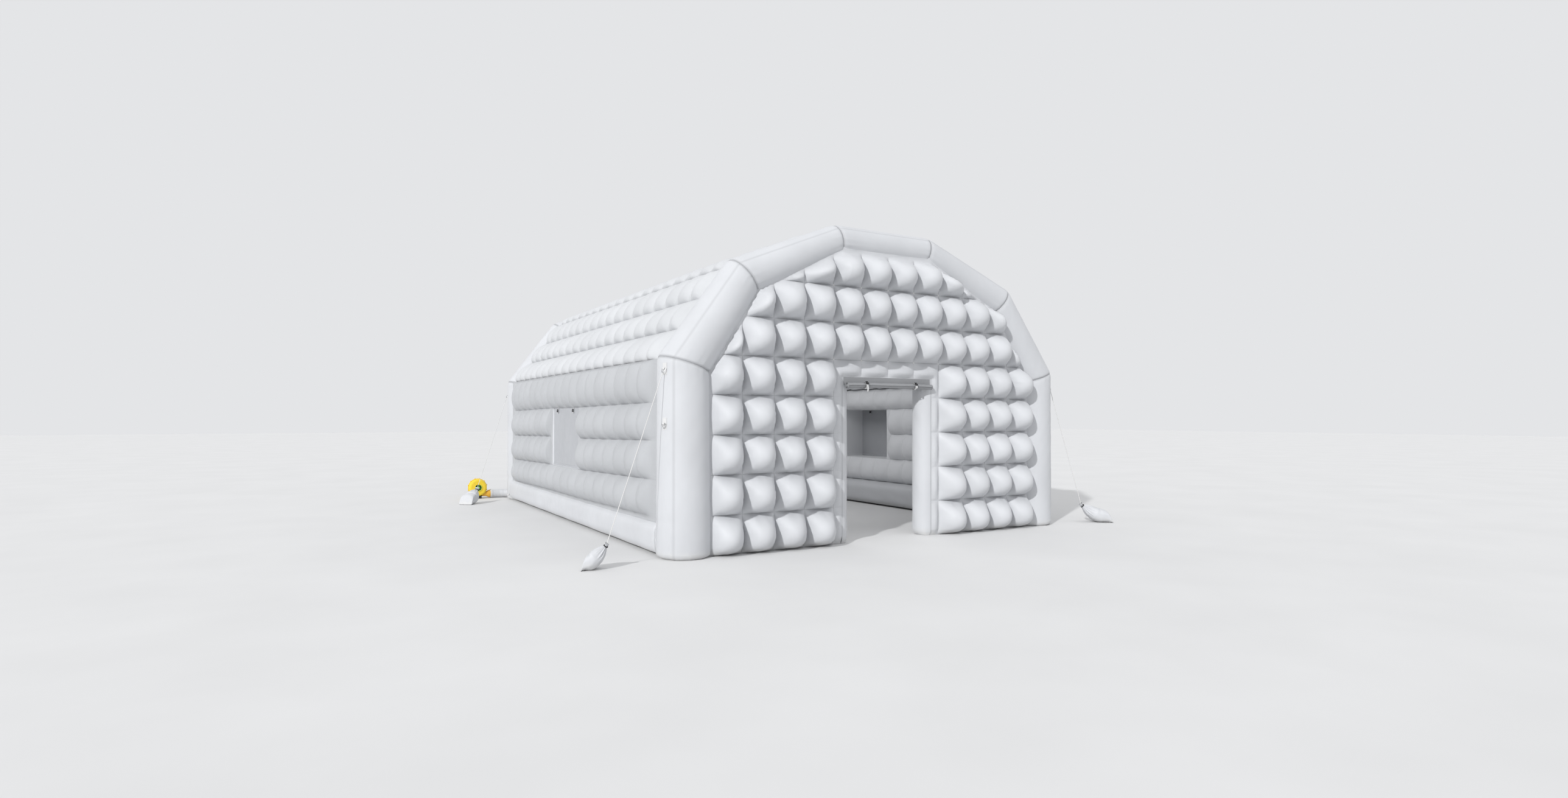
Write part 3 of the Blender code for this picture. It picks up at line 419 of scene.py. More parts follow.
def add_mesh(name: str, points: Grid, faces: Sequence, material: bpy.types.Material, body: str = TENT,
             seam: Optional[Grid] = None, gather: Optional[Grid] = None) -> bpy.types.Object:
    """Makes a smooth piece from points and faces, and lets it ride on a body.

    Args:
        name: The piece's name.
        points: Its points, one row each.
        faces: Its faces, as indices of points.
        material: Its finish.
        body: The body that it moves with.
        seam: How much painted shade each point gets along seams, creases and joints, from 0 to 1.
        gather: How gathered the cloth is at each point, from 0 to 1.

    Returns:
        The piece.
    """
    mesh = bpy.data.meshes.new(name)
    mesh.from_pydata(np.asarray(points).tolist(), [], [list(map(int, face)) for face in faces])
    for label, values in (("seam", seam), ("gather", gather)):
        if values is not None:
            layer = mesh.attributes.new(label, "FLOAT", "POINT")
            layer.data.foreach_set("value", np.asarray(values, np.float32).ravel())
    mesh.shade_smooth()
    mesh.materials.append(material)
    piece = link(name, mesh)
    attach(piece, body)
    return piece


def sheet_faces(rows: int, columns: int, around: bool = False) -> Grid:
    """The quads of a net of points.

    Args:
        rows: Its number of rows.
        columns: Its number of columns.
        around: Whether the last column joins the first.

    Returns:
        The quads, as indices of points.
    """
    index = np.arange(rows * columns).reshape(rows, columns)
    following = np.roll(index, -1, axis=1)
    if not around:
        index, following = index[:, :-1], following[:, :-1]
    quads = (index[:-1], following[:-1], following[1:], index[1:])
    return np.stack([quad.ravel() for quad in quads], axis=1)


def add_net(name: str, net: Grid, material: bpy.types.Material, body: str = TENT, around: bool = False,
            flip: bool = False, keep: Optional[Grid] = None, seam: Optional[Grid] = None,
            caps: bool = False, gather: Optional[Grid] = None) -> bpy.types.Object:
    """Makes a piece from a net of points.

    Args:
        name: The piece's name.
        net: The points, by row and column.
        material: Its finish.
        body: The body that it moves with.
        around: Whether the last column joins the first.
        flip: Whether its faces are turned over.
        keep: Which of its quads are kept, by row and column.
        seam: How much painted shade each point gets along seams, creases and joints.
        caps: Whether its first and last rows are closed with a face.
        gather: How gathered the cloth is at each point.

    Returns:
        The piece.
    """
    rows, columns = net.shape[:2]
    faces = sheet_faces(rows, columns, around)
    if keep is not None:
        faces = faces[keep.ravel()]
    if flip:
        faces = faces[:, ::-1]
    faces = [tuple(face) for face in faces]
    if caps:
        ends = [tuple(range(columns))[::-1], tuple(range((rows - 1) * columns, rows * columns))]
        faces += [end[::-1] if flip else end for end in ends]
    return add_mesh(name, net.reshape(-1, 3), faces, material, body, seam, gather)


def add_wire(name: str, line: Sequence[Point], radius: float, finish: bpy.types.Material) -> bpy.types.Object:
    """Makes a round cord along a line of points.

    Args:
        name: The piece's name.
        line: The points.
        radius: Its radius.
        finish: Its finish.

    Returns:
        The piece.
    """
    curve = bpy.data.curves.new(name, "CURVE")
    curve.dimensions = "3D"
    curve.bevel_depth = radius
    curve.bevel_resolution = 4
    curve.use_fill_caps = True
    spline = curve.splines.new("POLY")
    spline.points.add(len(line) - 1)
    for target, point in zip(spline.points, line):
        target.co = (*point, 1.0)
    curve.materials.append(finish)
    piece = link(name, curve)
    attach(piece, TENT)
    return piece


def dress(node: str, finish: bpy.types.Material) -> None:
    """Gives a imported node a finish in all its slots.

    Args:
        node: The node's name.
        finish: The finish.
    """
    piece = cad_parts[node]
    if not piece.data.materials:
        piece.data.materials.append(finish)
    for slot in piece.material_slots:
        slot.material = finish


def ripples(along: Grid, seed: int, slowest: float, closed: bool = False) -> Grid:
    """Irregular waves of about unit height, the same on every run.

    Args:
        along: Where to take them, in metres or radians.
        seed: Which waves.
        slowest: The wave number of the slowest one.
        closed: Whether they meet after a full turn.

    Returns:
        The heights.
    """
    waves, growth, scatter, decay = 6, 0.55, 0.3, 0.25
    dice = np.random.default_rng(seed)
    total = np.zeros_like(along)
    for step in range(waves):
        number = slowest * (1 + growth * step + scatter * dice.random())
        number = round(number) if closed else number
        total = total + np.sin(number * along + dice.uniform(0, 2 * math.pi)) / (1 + decay * step)
    return total / math.sqrt(waves)


def smooth_step(low: float, high: float, value: Grid) -> Grid:
    """Goes smoothly from 0 at low to 1 at high, which may be the smaller number."""
    share = np.clip((value - low) / (high - low), 0.0, 1.0)
    return share * share * (3 - 2 * share)


def bell(distance: Grid, reach: float) -> Grid:
    """A bell curve of height 1 that has fallen to about a third at its reach."""
    return np.exp(-(distance / reach) ** 2)


@dataclass(frozen=True)
class Wrinkles:
    """Irregular waves in cloth that die away from a line over their reach."""

    height: float
    waves: float
    seed: int
    reach: float = math.inf
    closed: bool = False

    def at(self, away: Grid, along: Grid, seed: int = 0) -> Grid:
        """Their height away from the line and along it, with a seed added to their own."""
        wave = ripples(along, self.seed + seed, self.waves, self.closed)
        return self.height * np.exp(-away / self.reach) * wave


def sweep(centres: Grid, sideways: Grid, upwards: Grid, widths: Grid, heights: Grid, sides: int,
          swell: Callable[[Grid, Grid], Grid]) -> Grid:
    """The net of a tube of oval rings along a path.

    Args:
        centres: The middle of each ring.
        sideways: The direction of each ring's half width.
        upwards: The direction of each ring's half height.
        widths: The half widths.
        heights: The half heights.
        sides: Points in a ring.
        swell: Gives what is added to the radius from the ring's number and the angle.

    Returns:
        The points, by ring and side.
    """
    numbers, turns = np.meshgrid(np.arange(len(centres)), ring_angles(sides), indexing="ij")
    extra = swell(numbers, turns)
    across = (widths[:, None] + extra) * np.cos(turns)
    rise = (heights[:, None] + extra) * np.sin(turns)
    return centres[:, None] + across[..., None] * sideways[:, None] + rise[..., None] * upwards[:, None]


# Blown-up quilting

@dataclass
class QuiltPatch:
    """A patch of quilted cloth, pinned along its seams and blown up by simulation, for the panels' cells."""

    columns: int = 6
    rows: int = 4
    steps: int = 14
    cell: float = 0.42
    slack: float = 0.24
    pressure: float = 9.0
    quality: int = 6
    mass: float = 0.15
    stretch_stiffness: float = 20.0
    shear_stiffness: float = 8.0
    bending: float = 0.05
    unevenness: float = 0.004
    frames: int = 16
    plain_height: float = 0.1
    plain_power: float = 0.6
    offsets: Grid = field(default_factory=lambda: np.zeros(0))

    def blow_up(self) -> None:
        """Simulates the patch and keeps each point's move, in shares of a cell and of a cushion's height."""
        steps = self.steps
        count = (self.columns * steps + 1, self.rows * steps + 1)
        along, height = np.meshgrid(*(np.arange(number) * self.cell / steps for number in count), indexing="ij")
        seam = np.zeros(count, bool)
        seam[::steps] = True
        seam[:, ::steps] = True
        rest = np.stack((along, height, np.zeros(count)), axis=-1)
        moved = self.simulate(rest, seam)
        offset = (moved - rest) / self.cell
        middles = offset[steps // 2::steps, steps // 2::steps, 2]
        offset[..., 2] /= middles.mean()
        offset[seam] = 0.0
        index = np.arange(steps + 1)
        blocks = [[offset[np.ix_(column * steps + index, row * steps + index)] for row in range(self.rows)]
                  for column in range(self.columns)]
        self.offsets = np.array(blocks)
        log.info("quilt patch: %d by %d cells, cushions %.3f m high", self.columns, self.rows,
                 middles.mean() * self.cell)

    def simulate(self, rest: Grid, seam: Grid) -> Grid:
        """Blows the patch up as cloth that is cut larger than its seams allow.

        Args:
            rest: The flat points.
            seam: Which of them are sewn down.

        Returns:
            The points after the simulation.
        """
        start = rest.copy()
        start[..., 2] = np.where(seam, 0.0, np.random.default_rng(4).uniform(0, self.unevenness, seam.shape))
        piece = add_net("quilt_patch", start, Finish.cloth)
        group = piece.vertex_groups.new(name="seams")
        group.add([int(index) for index in np.flatnonzero(seam)], 1.0, "REPLACE")
        modifier = piece.modifiers.new("cloth", "CLOTH")
        cloth = modifier.settings
        cloth.quality = self.quality
        cloth.mass = self.mass
        cloth.tension_stiffness = self.stretch_stiffness
        cloth.compression_stiffness = self.stretch_stiffness
        cloth.shear_stiffness = self.shear_stiffness
        cloth.bending_stiffness = self.bending
        cloth.shrink_min = -self.slack
        cloth.use_pressure = True
        cloth.uniform_pressure_force = self.pressure
        cloth.vertex_group_mass = "seams"
        cloth.effector_weights.gravity = 0
        modifier.point_cache.frame_start = 1
        modifier.point_cache.frame_end = self.frames
        for number in range(1, self.frames + 1):
            bpy.context.scene.frame_set(number)
        result = piece.evaluated_get(bpy.context.evaluated_depsgraph_get()).to_mesh()
        flat = np.empty(len(result.vertices) * 3)
        result.vertices.foreach_get("co", flat)
        bpy.context.scene.frame_set(1)
        mesh = piece.data
        bpy.data.objects.remove(piece)
        bpy.data.meshes.remove(mesh)
        return flat.reshape(rest.shape)

    def sample(self, column: Grid, row: Grid, across: Grid, rise: Grid, seed: int) -> Grid:
        """Takes points of cells of the patch, some of them mirrored so that no two neighbours look alike.

        Args:
            column: The panel's column of each point.
            row: Its row.
            across: Its share of the way across the cell.
            rise: Its share of the way up the cell.
            seed: Changes which cells are taken.

        Returns:
            How far each point moves, in shares of a cell, with the height in shares of the cushion's height.
        """
        code = column * 7 + row * 13 + seed * 5
        mirrored = (code // 3) % 2 == 1
        share = np.where(mirrored, 1 - across, across)
        x, y = (np.clip(part * self.steps, 0, self.steps - 1e-6) for part in (share, rise))
        i, j = x.astype(int), y.astype(int)
        fx, fy = (x - i)[..., None], (y - j)[..., None]
        cell = (code % self.columns, (code // self.columns + row) % self.rows)
        low, high = (self.offsets[cell + (i, line)] * (1 - fx) + self.offsets[cell + (i + 1, line)] * fx
                     for line in (j, j + 1))
        moved = low * (1 - fy) + high * fy
        moved[..., 0] = np.where(mirrored, -moved[..., 0], moved[..., 0])
        return moved


@dataclass(frozen=True)
class Cushions:
    """The form of a panel's cushions.

    A share of their height comes from the blown-up patch and the rest is drawn, as tubes along the rows
    to a share and otherwise as balls. They hang down by their droop, and a ridge may stand on the seams
    between columns.
    """

    droop: float
    simulated_share: float
    roundness: float
    tube_share: float = 0.0
    ridge: float = 0.0
    power: float = 2.0

    def drawn(self, across: Grid, rise: Grid) -> Grid:
        """The drawn height, from 0 to 1, at shares of the way across a cell and up it."""
        tube, side = (1 - np.abs(2 * share - 1) ** self.power for share in (rise, across))
        ball = (tube * side) ** self.roundness
        return tube ** self.roundness * self.tube_share + ball * (1 - self.tube_share)


@dataclass
class QuiltedPanel:
    """One skin of a quilted panel: its seams, its cushions, and how its flat drawing is put in its place."""

    name: str
    columns: Grid
    rows: Grid
    place: Placement
    weight: Weight
    cushions: Cushions
    sides: tuple[float, float]
    edges: tuple[Optional[float], Optional[float]] = (None, None)
    keep: Optional[Weight] = None
    extra_columns: Sequence[float] = ()
    extra_rows: Sequence[float] = ()
    ridge_weight: float = 0.3
    steps: int = 14
    seed: int = 0
    seam_half_width: float = 0.005
    seam_fade: float = 0.9
    gather_reach: float = 0.15

    def stations(self, seams: Grid, extra: Sequence[float], low: Optional[float], high: Optional[float]
                 ) -> tuple[Grid, Grid, Grid]:
        """Places along one direction, with lines close beside every inner seam.

        Args:
            seams: The places of the seams.
            extra: Other places that need a line.
            low: Where the panel starts, if that is before the first seam.
            high: Where it ends, if that is past the last seam.

        Returns:
            The places, the number of each one's cell, and its share of the way through that cell.
        """
        places = (seams[:-1, None] + np.diff(seams)[:, None] * np.arange(self.steps) / self.steps).ravel()
        beside = [seam + side * self.seam_half_width for seam in seams[1:-1] for side in (-1, 1)]
        places = [*places, seams[-1], *extra, *beside]
        step = (seams[1] - seams[0]) / self.steps
        if low is not None and low < seams[0]:
            places += list(np.arange(low, seams[0] - step / 2, step))
        if high is not None and high > seams[-1]:
            places += list(np.arange(high, seams[-1] + step / 2, -step))
        places = np.unique(np.round(places, 5))
        cell = np.clip(np.searchsorted(seams, places, side="right") - 1, 0, len(seams) - 2)
        return places, cell, (places - seams[cell]) / np.diff(seams)[cell]

    def build(self, patch: QuiltPatch, material: bpy.types.Material, flip: bool, node: str) -> None:
        """Makes the skin.

        Args:
            patch: The blown-up patch that its wrinkles come from.
            material: Its finish.
            flip: Whether its faces are turned over.
            node: The node that it stands for.
        """
        a, column, u = self.stations(self.columns, self.extra_columns, *self.sides)
        b, row, v = self.stations(self.rows, self.extra_rows, *self.edges)
        along, height = np.meshgrid(a, b, indexing="ij")
        columns, rows = np.meshgrid(column, row, indexing="ij")
        across, rise = np.meshgrid(u, v, indexing="ij")
        within = (across >= 0) & (across <= 1) & (rise >= 0) & (rise <= 1)
        cell = np.clip(across, 0, 1), np.clip(rise, 0, 1)
        moved = patch.sample(columns, rows, *cell, self.seed)
        width, tall = np.diff(self.columns)[columns], np.diff(self.rows)[rows]
        weight = self.weight(along, height) * within
        form = self.cushions
        swell = (form.drawn(*cell) * (1 - form.simulated_share) + moved[..., 2] * form.simulated_share) * weight
        shift = 2 * form.simulated_share * weight
        dx = moved[..., 0] * width * shift
        dy = moved[..., 1] * tall * shift - form.droop * swell * tall
        to_column = np.abs(np.minimum(across, 1 - across)) * width
        to_row = np.minimum(rise, 1 - rise) * tall
        tie = (to_column < 0.5 * self.seam_half_width) * within * (weight > self.ridge_weight)
        net = self.place(along + dx, height + dy, swell + form.ridge * tie)
        # Painted shade along the seams' valleys; on ridged panels only along the row seams, under the cushions.
        to_seam = to_row if form.ridge else np.minimum(to_column, to_row)
        seam = np.clip(1 - to_seam / (self.seam_fade * self.seam_half_width), 0, 1) * np.clip(weight, 0, 1)
        keep = None
        if self.keep is not None:
            keep = self.keep(*((grid[:-1, :-1] + grid[1:, 1:]) / 2 for grid in (along, height)))
        gather = np.clip(1 - weight, 0, 1) ** 2 * np.exp(-to_row / self.gather_reach)
        piece = add_net(self.name, net, material, flip=flip, keep=keep, seam=seam, gather=gather)
        self.tidy_loose(piece)
        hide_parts(node)
        log.info("%s: %d faces", self.name, len(piece.data.polygons))

    @staticmethod
    def tidy_loose(piece: bpy.types.Object) -> None:
        """Removes the points of a piece that no face uses.

        Args:
            piece: The piece.
        """
        data = bmesh.new()
        data.from_mesh(piece.data)
        loose = [vertex for vertex in data.verts if not vertex.link_faces]
        bmesh.ops.delete(data, geom=loose, context="VERTS")
        data.to_mesh(piece.data)
        data.free()


# The frame of air tubes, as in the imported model

@dataclass(frozen=True)
class Arch:
    """The line of an arch's tube: corners as (x, z, radius), from the left foot to the right one."""

    post_x: float = 2.70
    post_y: float = 3.70
    eave: float = 2.10
    top: float = 3.68
    foot_radius: float = 0.30
    eave_radius: float = 0.29
    slope_corner: tuple = (1.98, 3.12, 0.25)
    top_corner: tuple = (0.69, 3.68, 0.20)

    @property
    def corners(self) -> tuple:
        """The corners from left to right."""
        right = (self.top_corner, self.slope_corner, (self.post_x, self.eave, self.eave_radius),
                 (self.post_x, 0.0, self.foot_radius))
        return tuple((-x, z, radius) for x, z, radius in right[::-1]) + right

    def corner(self, index: int) -> Grid:
        """The place of a corner in its plane, as (x, z)."""
        return np.array(self.corners[index][:2])

    def span(self, first: int, last: int) -> float:
        """The distance between two corners."""
        return float(np.linalg.norm(self.corner(last) - self.corner(first)))

    def direction(self, first: int, last: int) -> Grid:
        """The direction from one corner to another, as (x, z)."""
        return (self.corner(last) - self.corner(first)) / self.span(first, last)

    def outward(self, first: int, last: int) -> Grid:
        """The direction out of the tent, square to the line from one corner to another."""
        turned = self.direction(first, last)[::-1] * (-1, 1)
        return turned if first < last else -turned

    def radius(self, first: int, last: int, share: Grid) -> Grid:
        """The tube's radius a share of the way from one corner to another."""
        start, end = self.corners[first][2], self.corners[last][2]
        return start + (end - start) * share

    def mitre(self, index: int) -> float:
        """The tangent of half the turn at a corner, which is 0 at the feet.

        Args:
            index: The corner.

        Returns:
            The tangent.
        """
        if index in (0, len(self.corners) - 1):
            return 0.0
        before, after = self.direction(index - 1, index), self.direction(index, index + 1)
        return math.tan(math.acos(float(np.clip(before @ after, -1, 1))) / 2)

    def within(self, x: Grid, z: Grid) -> Grid:
        """How far points are inside the arch's line.

        Args:
            x: Their places across the tent.
            z: Their heights.

        Returns:
            The distances, negative outside the line.
        """
        depths = [(x - self.corner(index)[0]) * -out[0] + (z - self.corner(index)[1]) * -out[1]
                  for index in range(len(self.corners) - 1) for out in (self.outward(index, index + 1),)]
        return np.minimum.reduce(depths)


ARCH = Arch()


@dataclass
class ArchFrame:
    """Both arches: round welded tubes with puckered mitre seams and a weld line along them."""

    sides: int = 72
    ring_step: float = 0.035
    fewest_rings: int = 8
    ring_spread: float = 0.10
    seam_half_width: float = 0.010
    pucker: Wrinkles = Wrinkles(0.006, 14.0, 0, 1.0, True)
    pucker_reach: float = 0.10
    pucker_start: float = 0.02
    outer_share: float = 0.7
    inner_gain: float = 0.6
    least_pucker: float = 0.4
    pinch: float = 0.010
    pinch_reach: float = 0.022
    foot_rounding: float = 0.035
    foot_pucker: Wrinkles = Wrinkles(0.004, 12.0, 5, 0.08, True)
    corner_start: tuple[float, float] = (-0.25 * math.pi, -0.20 * math.pi)
    corner_end: tuple[float, float] = (1.9, 1.5)
    corner_height: float = 0.40
    corner_bulge: float = 0.004
    corner_draw: float = 0.012
    corner_rounding: float = 0.05
    crease_depth: float = 0.006
    crease_reach: float = 0.02
    crease_half_width: float = 0.012
    crease_darkness: float = 0.8
    crease_pucker: Wrinkles = Wrinkles(0.005, 11.0, 6, 0.12, True)
    unevenness: Wrinkles = Wrinkles(0.0012, 2.0, 3, closed=True)
    unevenness_twist: float = 9.0
    weld_turn: float = 0.25 * math.pi
    weld_half_width: float = 0.012
    weld_darkness: float = 0.55
    weld_depth: float = 0.0022
    weld_reach: float = 0.009
    weld_pucker: Wrinkles = Wrinkles(0.0012, 60.0, 9)
    weld_pucker_reach: float = 0.03
    labels: tuple = ("post_left", "slope_left", "shoulder_left", "top_tube", "shoulder_right", "slope_right",
                     "post_right")
    front_seed: int = 11
    back_seed: int = 211
    length_seed: int = 31
    end_seed: int = 17

    def mitre_seam(self, gap: Grid, turn: Grid, seed: int) -> tuple[Grid, Grid]:
        """The pinched and puckered cloth beside a mitre seam.

        Args:
            gap: How far points are from the seam.
            turn: Their angle from the outer side.
            seed: Which wrinkles it has.

        Returns:
            What it adds to the radius, and how much painted shade it gets in the seam's pinch.
        """
        inner = 0.5 - 0.5 * np.cos(turn)
        reach = self.pucker_reach * (self.outer_share + self.inner_gain * inner)
        pucker = self.pucker.at(gap / reach, turn, seed) * (self.least_pucker + inner)
        pucker = pucker * np.minimum(1, gap / self.pucker_start)
        # Painted shade in the pinched mitre seam.
        painted_shade = np.clip(1 - gap / self.seam_half_width, 0, 1)
        return pucker - self.pinch * bell(gap, self.pinch_reach), painted_shade

    def foot(self, rise: Grid, turn: Grid, arch_y: float, seed: int) -> tuple[Grid, Grid]:
        """The rounded foot of a post, with the corner by the wall that closes the base tube's end.

        Args:
            rise: How far points are from the ground.
            turn: Their angle from the outer side.
            arch_y: The arch's place along the tent.
            seed: Which wrinkles it has.

        Returns:
            What it adds to the radius, and how much painted shade it gets in the crease above the corner.
        """
        towards_wall = np.angle(np.exp(1j * turn)) * -math.copysign(1, arch_y)
        corner = smooth_step(*self.corner_start, towards_wall) * smooth_step(*self.corner_end, towards_wall)
        above = np.abs(rise - self.corner_height)
        swell = self.foot_pucker.at(rise, turn, seed) + corner * self.crease_pucker.at(above, turn, seed)
        swell -= self.foot_rounding * np.clip(1 - rise / self.foot_rounding, 0, 1) ** 2
        swell += corner * self.corner_bulge * np.sin(math.pi * np.clip(rise / self.corner_height, 0, 1))
        swell -= corner * self.corner_draw * np.clip(1 - rise / self.corner_rounding, 0, 1) ** 2
        swell -= corner * self.crease_depth * bell(above, self.crease_reach)
        # Painted shade in the crease where the corner piece meets the post.
        painted_shade = self.crease_darkness * np.round(corner) * np.clip(1 - above / self.crease_half_width, 0, 1)
        return swell, painted_shade

    def weld(self, off: Grid, run: Grid, seed: int) -> tuple[Grid, Grid]:
        """The weld line along a tube.

        Args:
            off: How far points are from the line.
            run: Their places along the tube.
            seed: Which wrinkles it has.

        Returns:
            What it adds to the radius, and how much painted shade it gets in the weld's groove.
        """
        pucker = self.weld_pucker.at(0.0, run, seed) * bell(off, self.weld_pucker_reach)
        # Painted shade in the weld's groove.
        painted_shade = self.weld_darkness * np.clip(1 - off / self.weld_half_width, 0, 1)
        return pucker - self.weld_depth * bell(off, self.weld_reach), painted_shade

    def length_net(self, first: int, arch_y: float, seed: int) -> tuple[Grid, Grid]:
        """The net of one length between two corners.

        Args:
            first: The corner that it starts at.
            arch_y: The arch's place along the tent.
            seed: Which wrinkles it has.

        Returns:
            The points by ring and side, and how much painted shade each gets at seams and creases.
        """
        last = first + 1
        length = ARCH.span(first, last)
        even = np.linspace(0, 1, max(self.fewest_rings, int(length / self.ring_step)) + 1)
        eased = even - self.ring_spread * np.sin(2 * math.pi * even) / (2 * math.pi)
        share, turn = np.meshgrid(eased, ring_angles(self.sides), indexing="ij")
        radius = ARCH.radius(first, last, share)
        weld = math.copysign(self.weld_turn, arch_y)
        off = np.abs((turn - weld + math.pi) % (2 * math.pi) - math.pi) * radius
        forms = [self.weld(off, share * length, seed)]
        mitres = (ARCH.mitre(first), ARCH.mitre(last))
        for number, (gap, tangent) in enumerate(zip((share * length, (1 - share) * length), mitres)):
            forms.append(self.mitre_seam(gap, turn, seed + self.end_seed * number) if tangent
                         else self.foot(gap, turn, arch_y, seed))
        swell = sum(form[0] for form in forms)
        swell += self.unevenness.at(0.0, turn * 2 + share * self.unevenness_twist, seed)
        out, front = ((radius + swell) * part for part in (np.cos(turn), np.sin(turn)))
        run = share * length + out * (mitres[1] * share - mitres[0] * (1 - share))
        start, direction, outward = ARCH.corner(first), ARCH.direction(first, last), ARCH.outward(first, last)
        x, z = (start[axis] + direction[axis] * run + outward[axis] * out for axis in (0, 1))
        return np.stack((x, arch_y + front, z), axis=-1), np.maximum.reduce([form[1] for form in forms])

    def build(self) -> None:
        """Builds the front arch in seven lengths, and the back arch in seven that stand for three nodes."""
        for arch_y, seed in ((-ARCH.post_y, self.front_seed), (ARCH.post_y, self.back_seed)):
            for index, label in enumerate(self.labels):
                in_top = arch_y > 0 and not label.startswith("post")
                node = "back_arch_top" if in_top else f"{'back' if arch_y > 0 else 'front'}_{label}"
                name = f"{node}_cloth_{index}" if in_top else f"{node}_cloth"
                net, seam = self.length_net(index, arch_y, seed + index * self.length_seed)
                piece = add_net(name, net, Finish.cloth, around=True, seam=seam, caps=True, flip=True)
                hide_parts(node)
        log.info("arch frame: %d lengths of tube", 2 * len(self.labels))


@dataclass
class BaseTubes:
    """The wide oval tubes along the floor, drawn in at their ends where they are welded to the posts."""

    centre_x: float = 2.62
    half_width: float = 0.385
    half_height: float = 0.20
    reach: float = 3.64
    end_draw: float = 0.10
    end_drawn_share: float = 0.05
    end_seam: float = 3.585
    seam_reach: float = 0.012
    seam_depth: float = 0.006
    seam_rings: tuple = (-0.02, -0.008, 0.0, 0.008, 0.02)
    squareness: float = 0.50
    sides: int = 64
    ring_step: float = 0.05
    pucker: Wrinkles = Wrinkles(0.006, 9.0, 7, 0.10, True)
    gathers: Wrinkles = Wrinkles(0.0035, 28.0, 3)
    gather_spread: float = 0.35
    unevenness: Wrinkles = Wrinkles(0.002, 2.2, 5, closed=True)
    unevenness_twist: float = 1.3

    def build(self) -> None:
        """Builds the left and the right tube, whose section is fuller at its corners than an oval."""
        along = np.linspace(-self.reach, self.reach, int(2 * self.reach / self.ring_step) + 1)
        near_seam = [end * self.end_seam + step for end in (-1, 1) for step in self.seam_rings]
        along = np.unique(np.round(np.concatenate((along, near_seam)), 4))
        to_end = self.reach - np.abs(along)
        draw = 1 - self.end_drawn_share * (1 - smooth_step(0.0, self.end_draw, to_end))
        line = bell(np.abs(along) - self.end_seam, self.seam_reach)
        turns = ring_angles(self.sides)
        corners = sum(np.abs(part) ** (2 / self.squareness) for part in (np.cos(turns), np.sin(turns)))
        fuller = corners ** (-self.squareness / 2)
        for side in Side:
            middle = np.full_like(along, side.value * self.centre_x)
            centres = np.stack((middle, along, self.half_height * draw), axis=-1)
            sideways, upwards = (np.tile(way, (len(along), 1)) for way in ((float(side.value), 0.0, 0.0), UP))

            def swell(number: Grid, turn: Grid, side: Side = side) -> Grid:
                """Puckers at the ends, long soft waves, and gathers where the wall is welded on.

                Args:
                    number: The rings of points.
                    turn: Their angles round the tube.
                    side: Which tube.

                Returns:
                    What is added to the radius.
                """
                ring, seed = number.astype(int), side.value
                gathers = self.gathers.at(0.0, along[ring], seed) * bell(turn - math.pi / 2, self.gather_spread)
                uneven = self.unevenness.at(0.0, along[ring] * self.unevenness_twist + turn, seed)
                pucker = self.pucker.at(to_end[ring], turn, seed)
                return pucker + gathers + uneven - self.seam_depth * line[ring]

            net = sweep(centres, sideways, upwards, self.half_width * draw, self.half_height * draw,
                        self.sides, swell)
            net = centres[:, None] + (net - centres[:, None]) * fuller[None, :, None]
            net[..., 2] = np.maximum(net[..., 2], 0.0)
            # Painted shade in the drawn-in groove where the tube is welded to the post.
            seam = np.tile(line[:, None] ** 2, (1, self.sides))
            piece = add_net(f"base_tube_{side.label}_cloth", net, Finish.cloth, around=True, caps=True,
                            flip=side is Side.RIGHT, seam=seam)
            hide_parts(f"base_tube_{side.label}")
        log.info("base tubes: 2")


# Walls and roof

@dataclass
class SidePanel:
    """A panel between two corners of the arches, with its slant at the mitres, bow and rise of seams.

    Out of the line between the corners it reaches a share of the tube's radius: one share at its seams, and a
    larger one at the tops of its cushions.
    """

    first: int
    last: int
    seam_share: float
    crown_share: float
    bow: float = 0.0
    rise: float = 0.0
    fade_share: float = 1.0
    level_reach: float = 0.78

    def put(self, skin: Skin, along: Grid, height: Grid, swell: Grid) -> Grid:
        """Puts flat points of one skin in their place.

        Args:
            skin: Which skin.
            along: Their places along the tent.
            height: Their distances from the first corner.
            swell: The heights of the cushions there.

        Returns:
            The points.
        """
        ends = (self.first, self.last)
        start, direction, outward = ARCH.corner(self.first), ARCH.direction(*ends), ARCH.outward(*ends)
        share = height / ARCH.span(*ends)
        belly = 4 * share * (1 - share)
        out = self.seam_share + (self.crown_share - self.seam_share) * swell
        depth = skin.value * out * ARCH.radius(*ends, share)
        slants = [ARCH.mitre(corner) * np.maximum(0.0, 1 - part / self.fade_share)
                  for corner, part in ((self.last, 1 - share), (self.first, share))]
        run = height + depth * (slants[0] - slants[1])
        beyond = np.copysign(np.maximum(0.0, np.abs(along) - self.level_reach), along)
        run = run - self.rise * belly * beyond / (2 * ARCH.post_y)
        depth = depth + self.bow * belly * (1 - (along / ARCH.post_y) ** 2)
        x, z = (start[axis] + direction[axis] * run + outward[axis] * depth for axis in (0, 1))
        return np.stack((x, along, z), axis=-1)


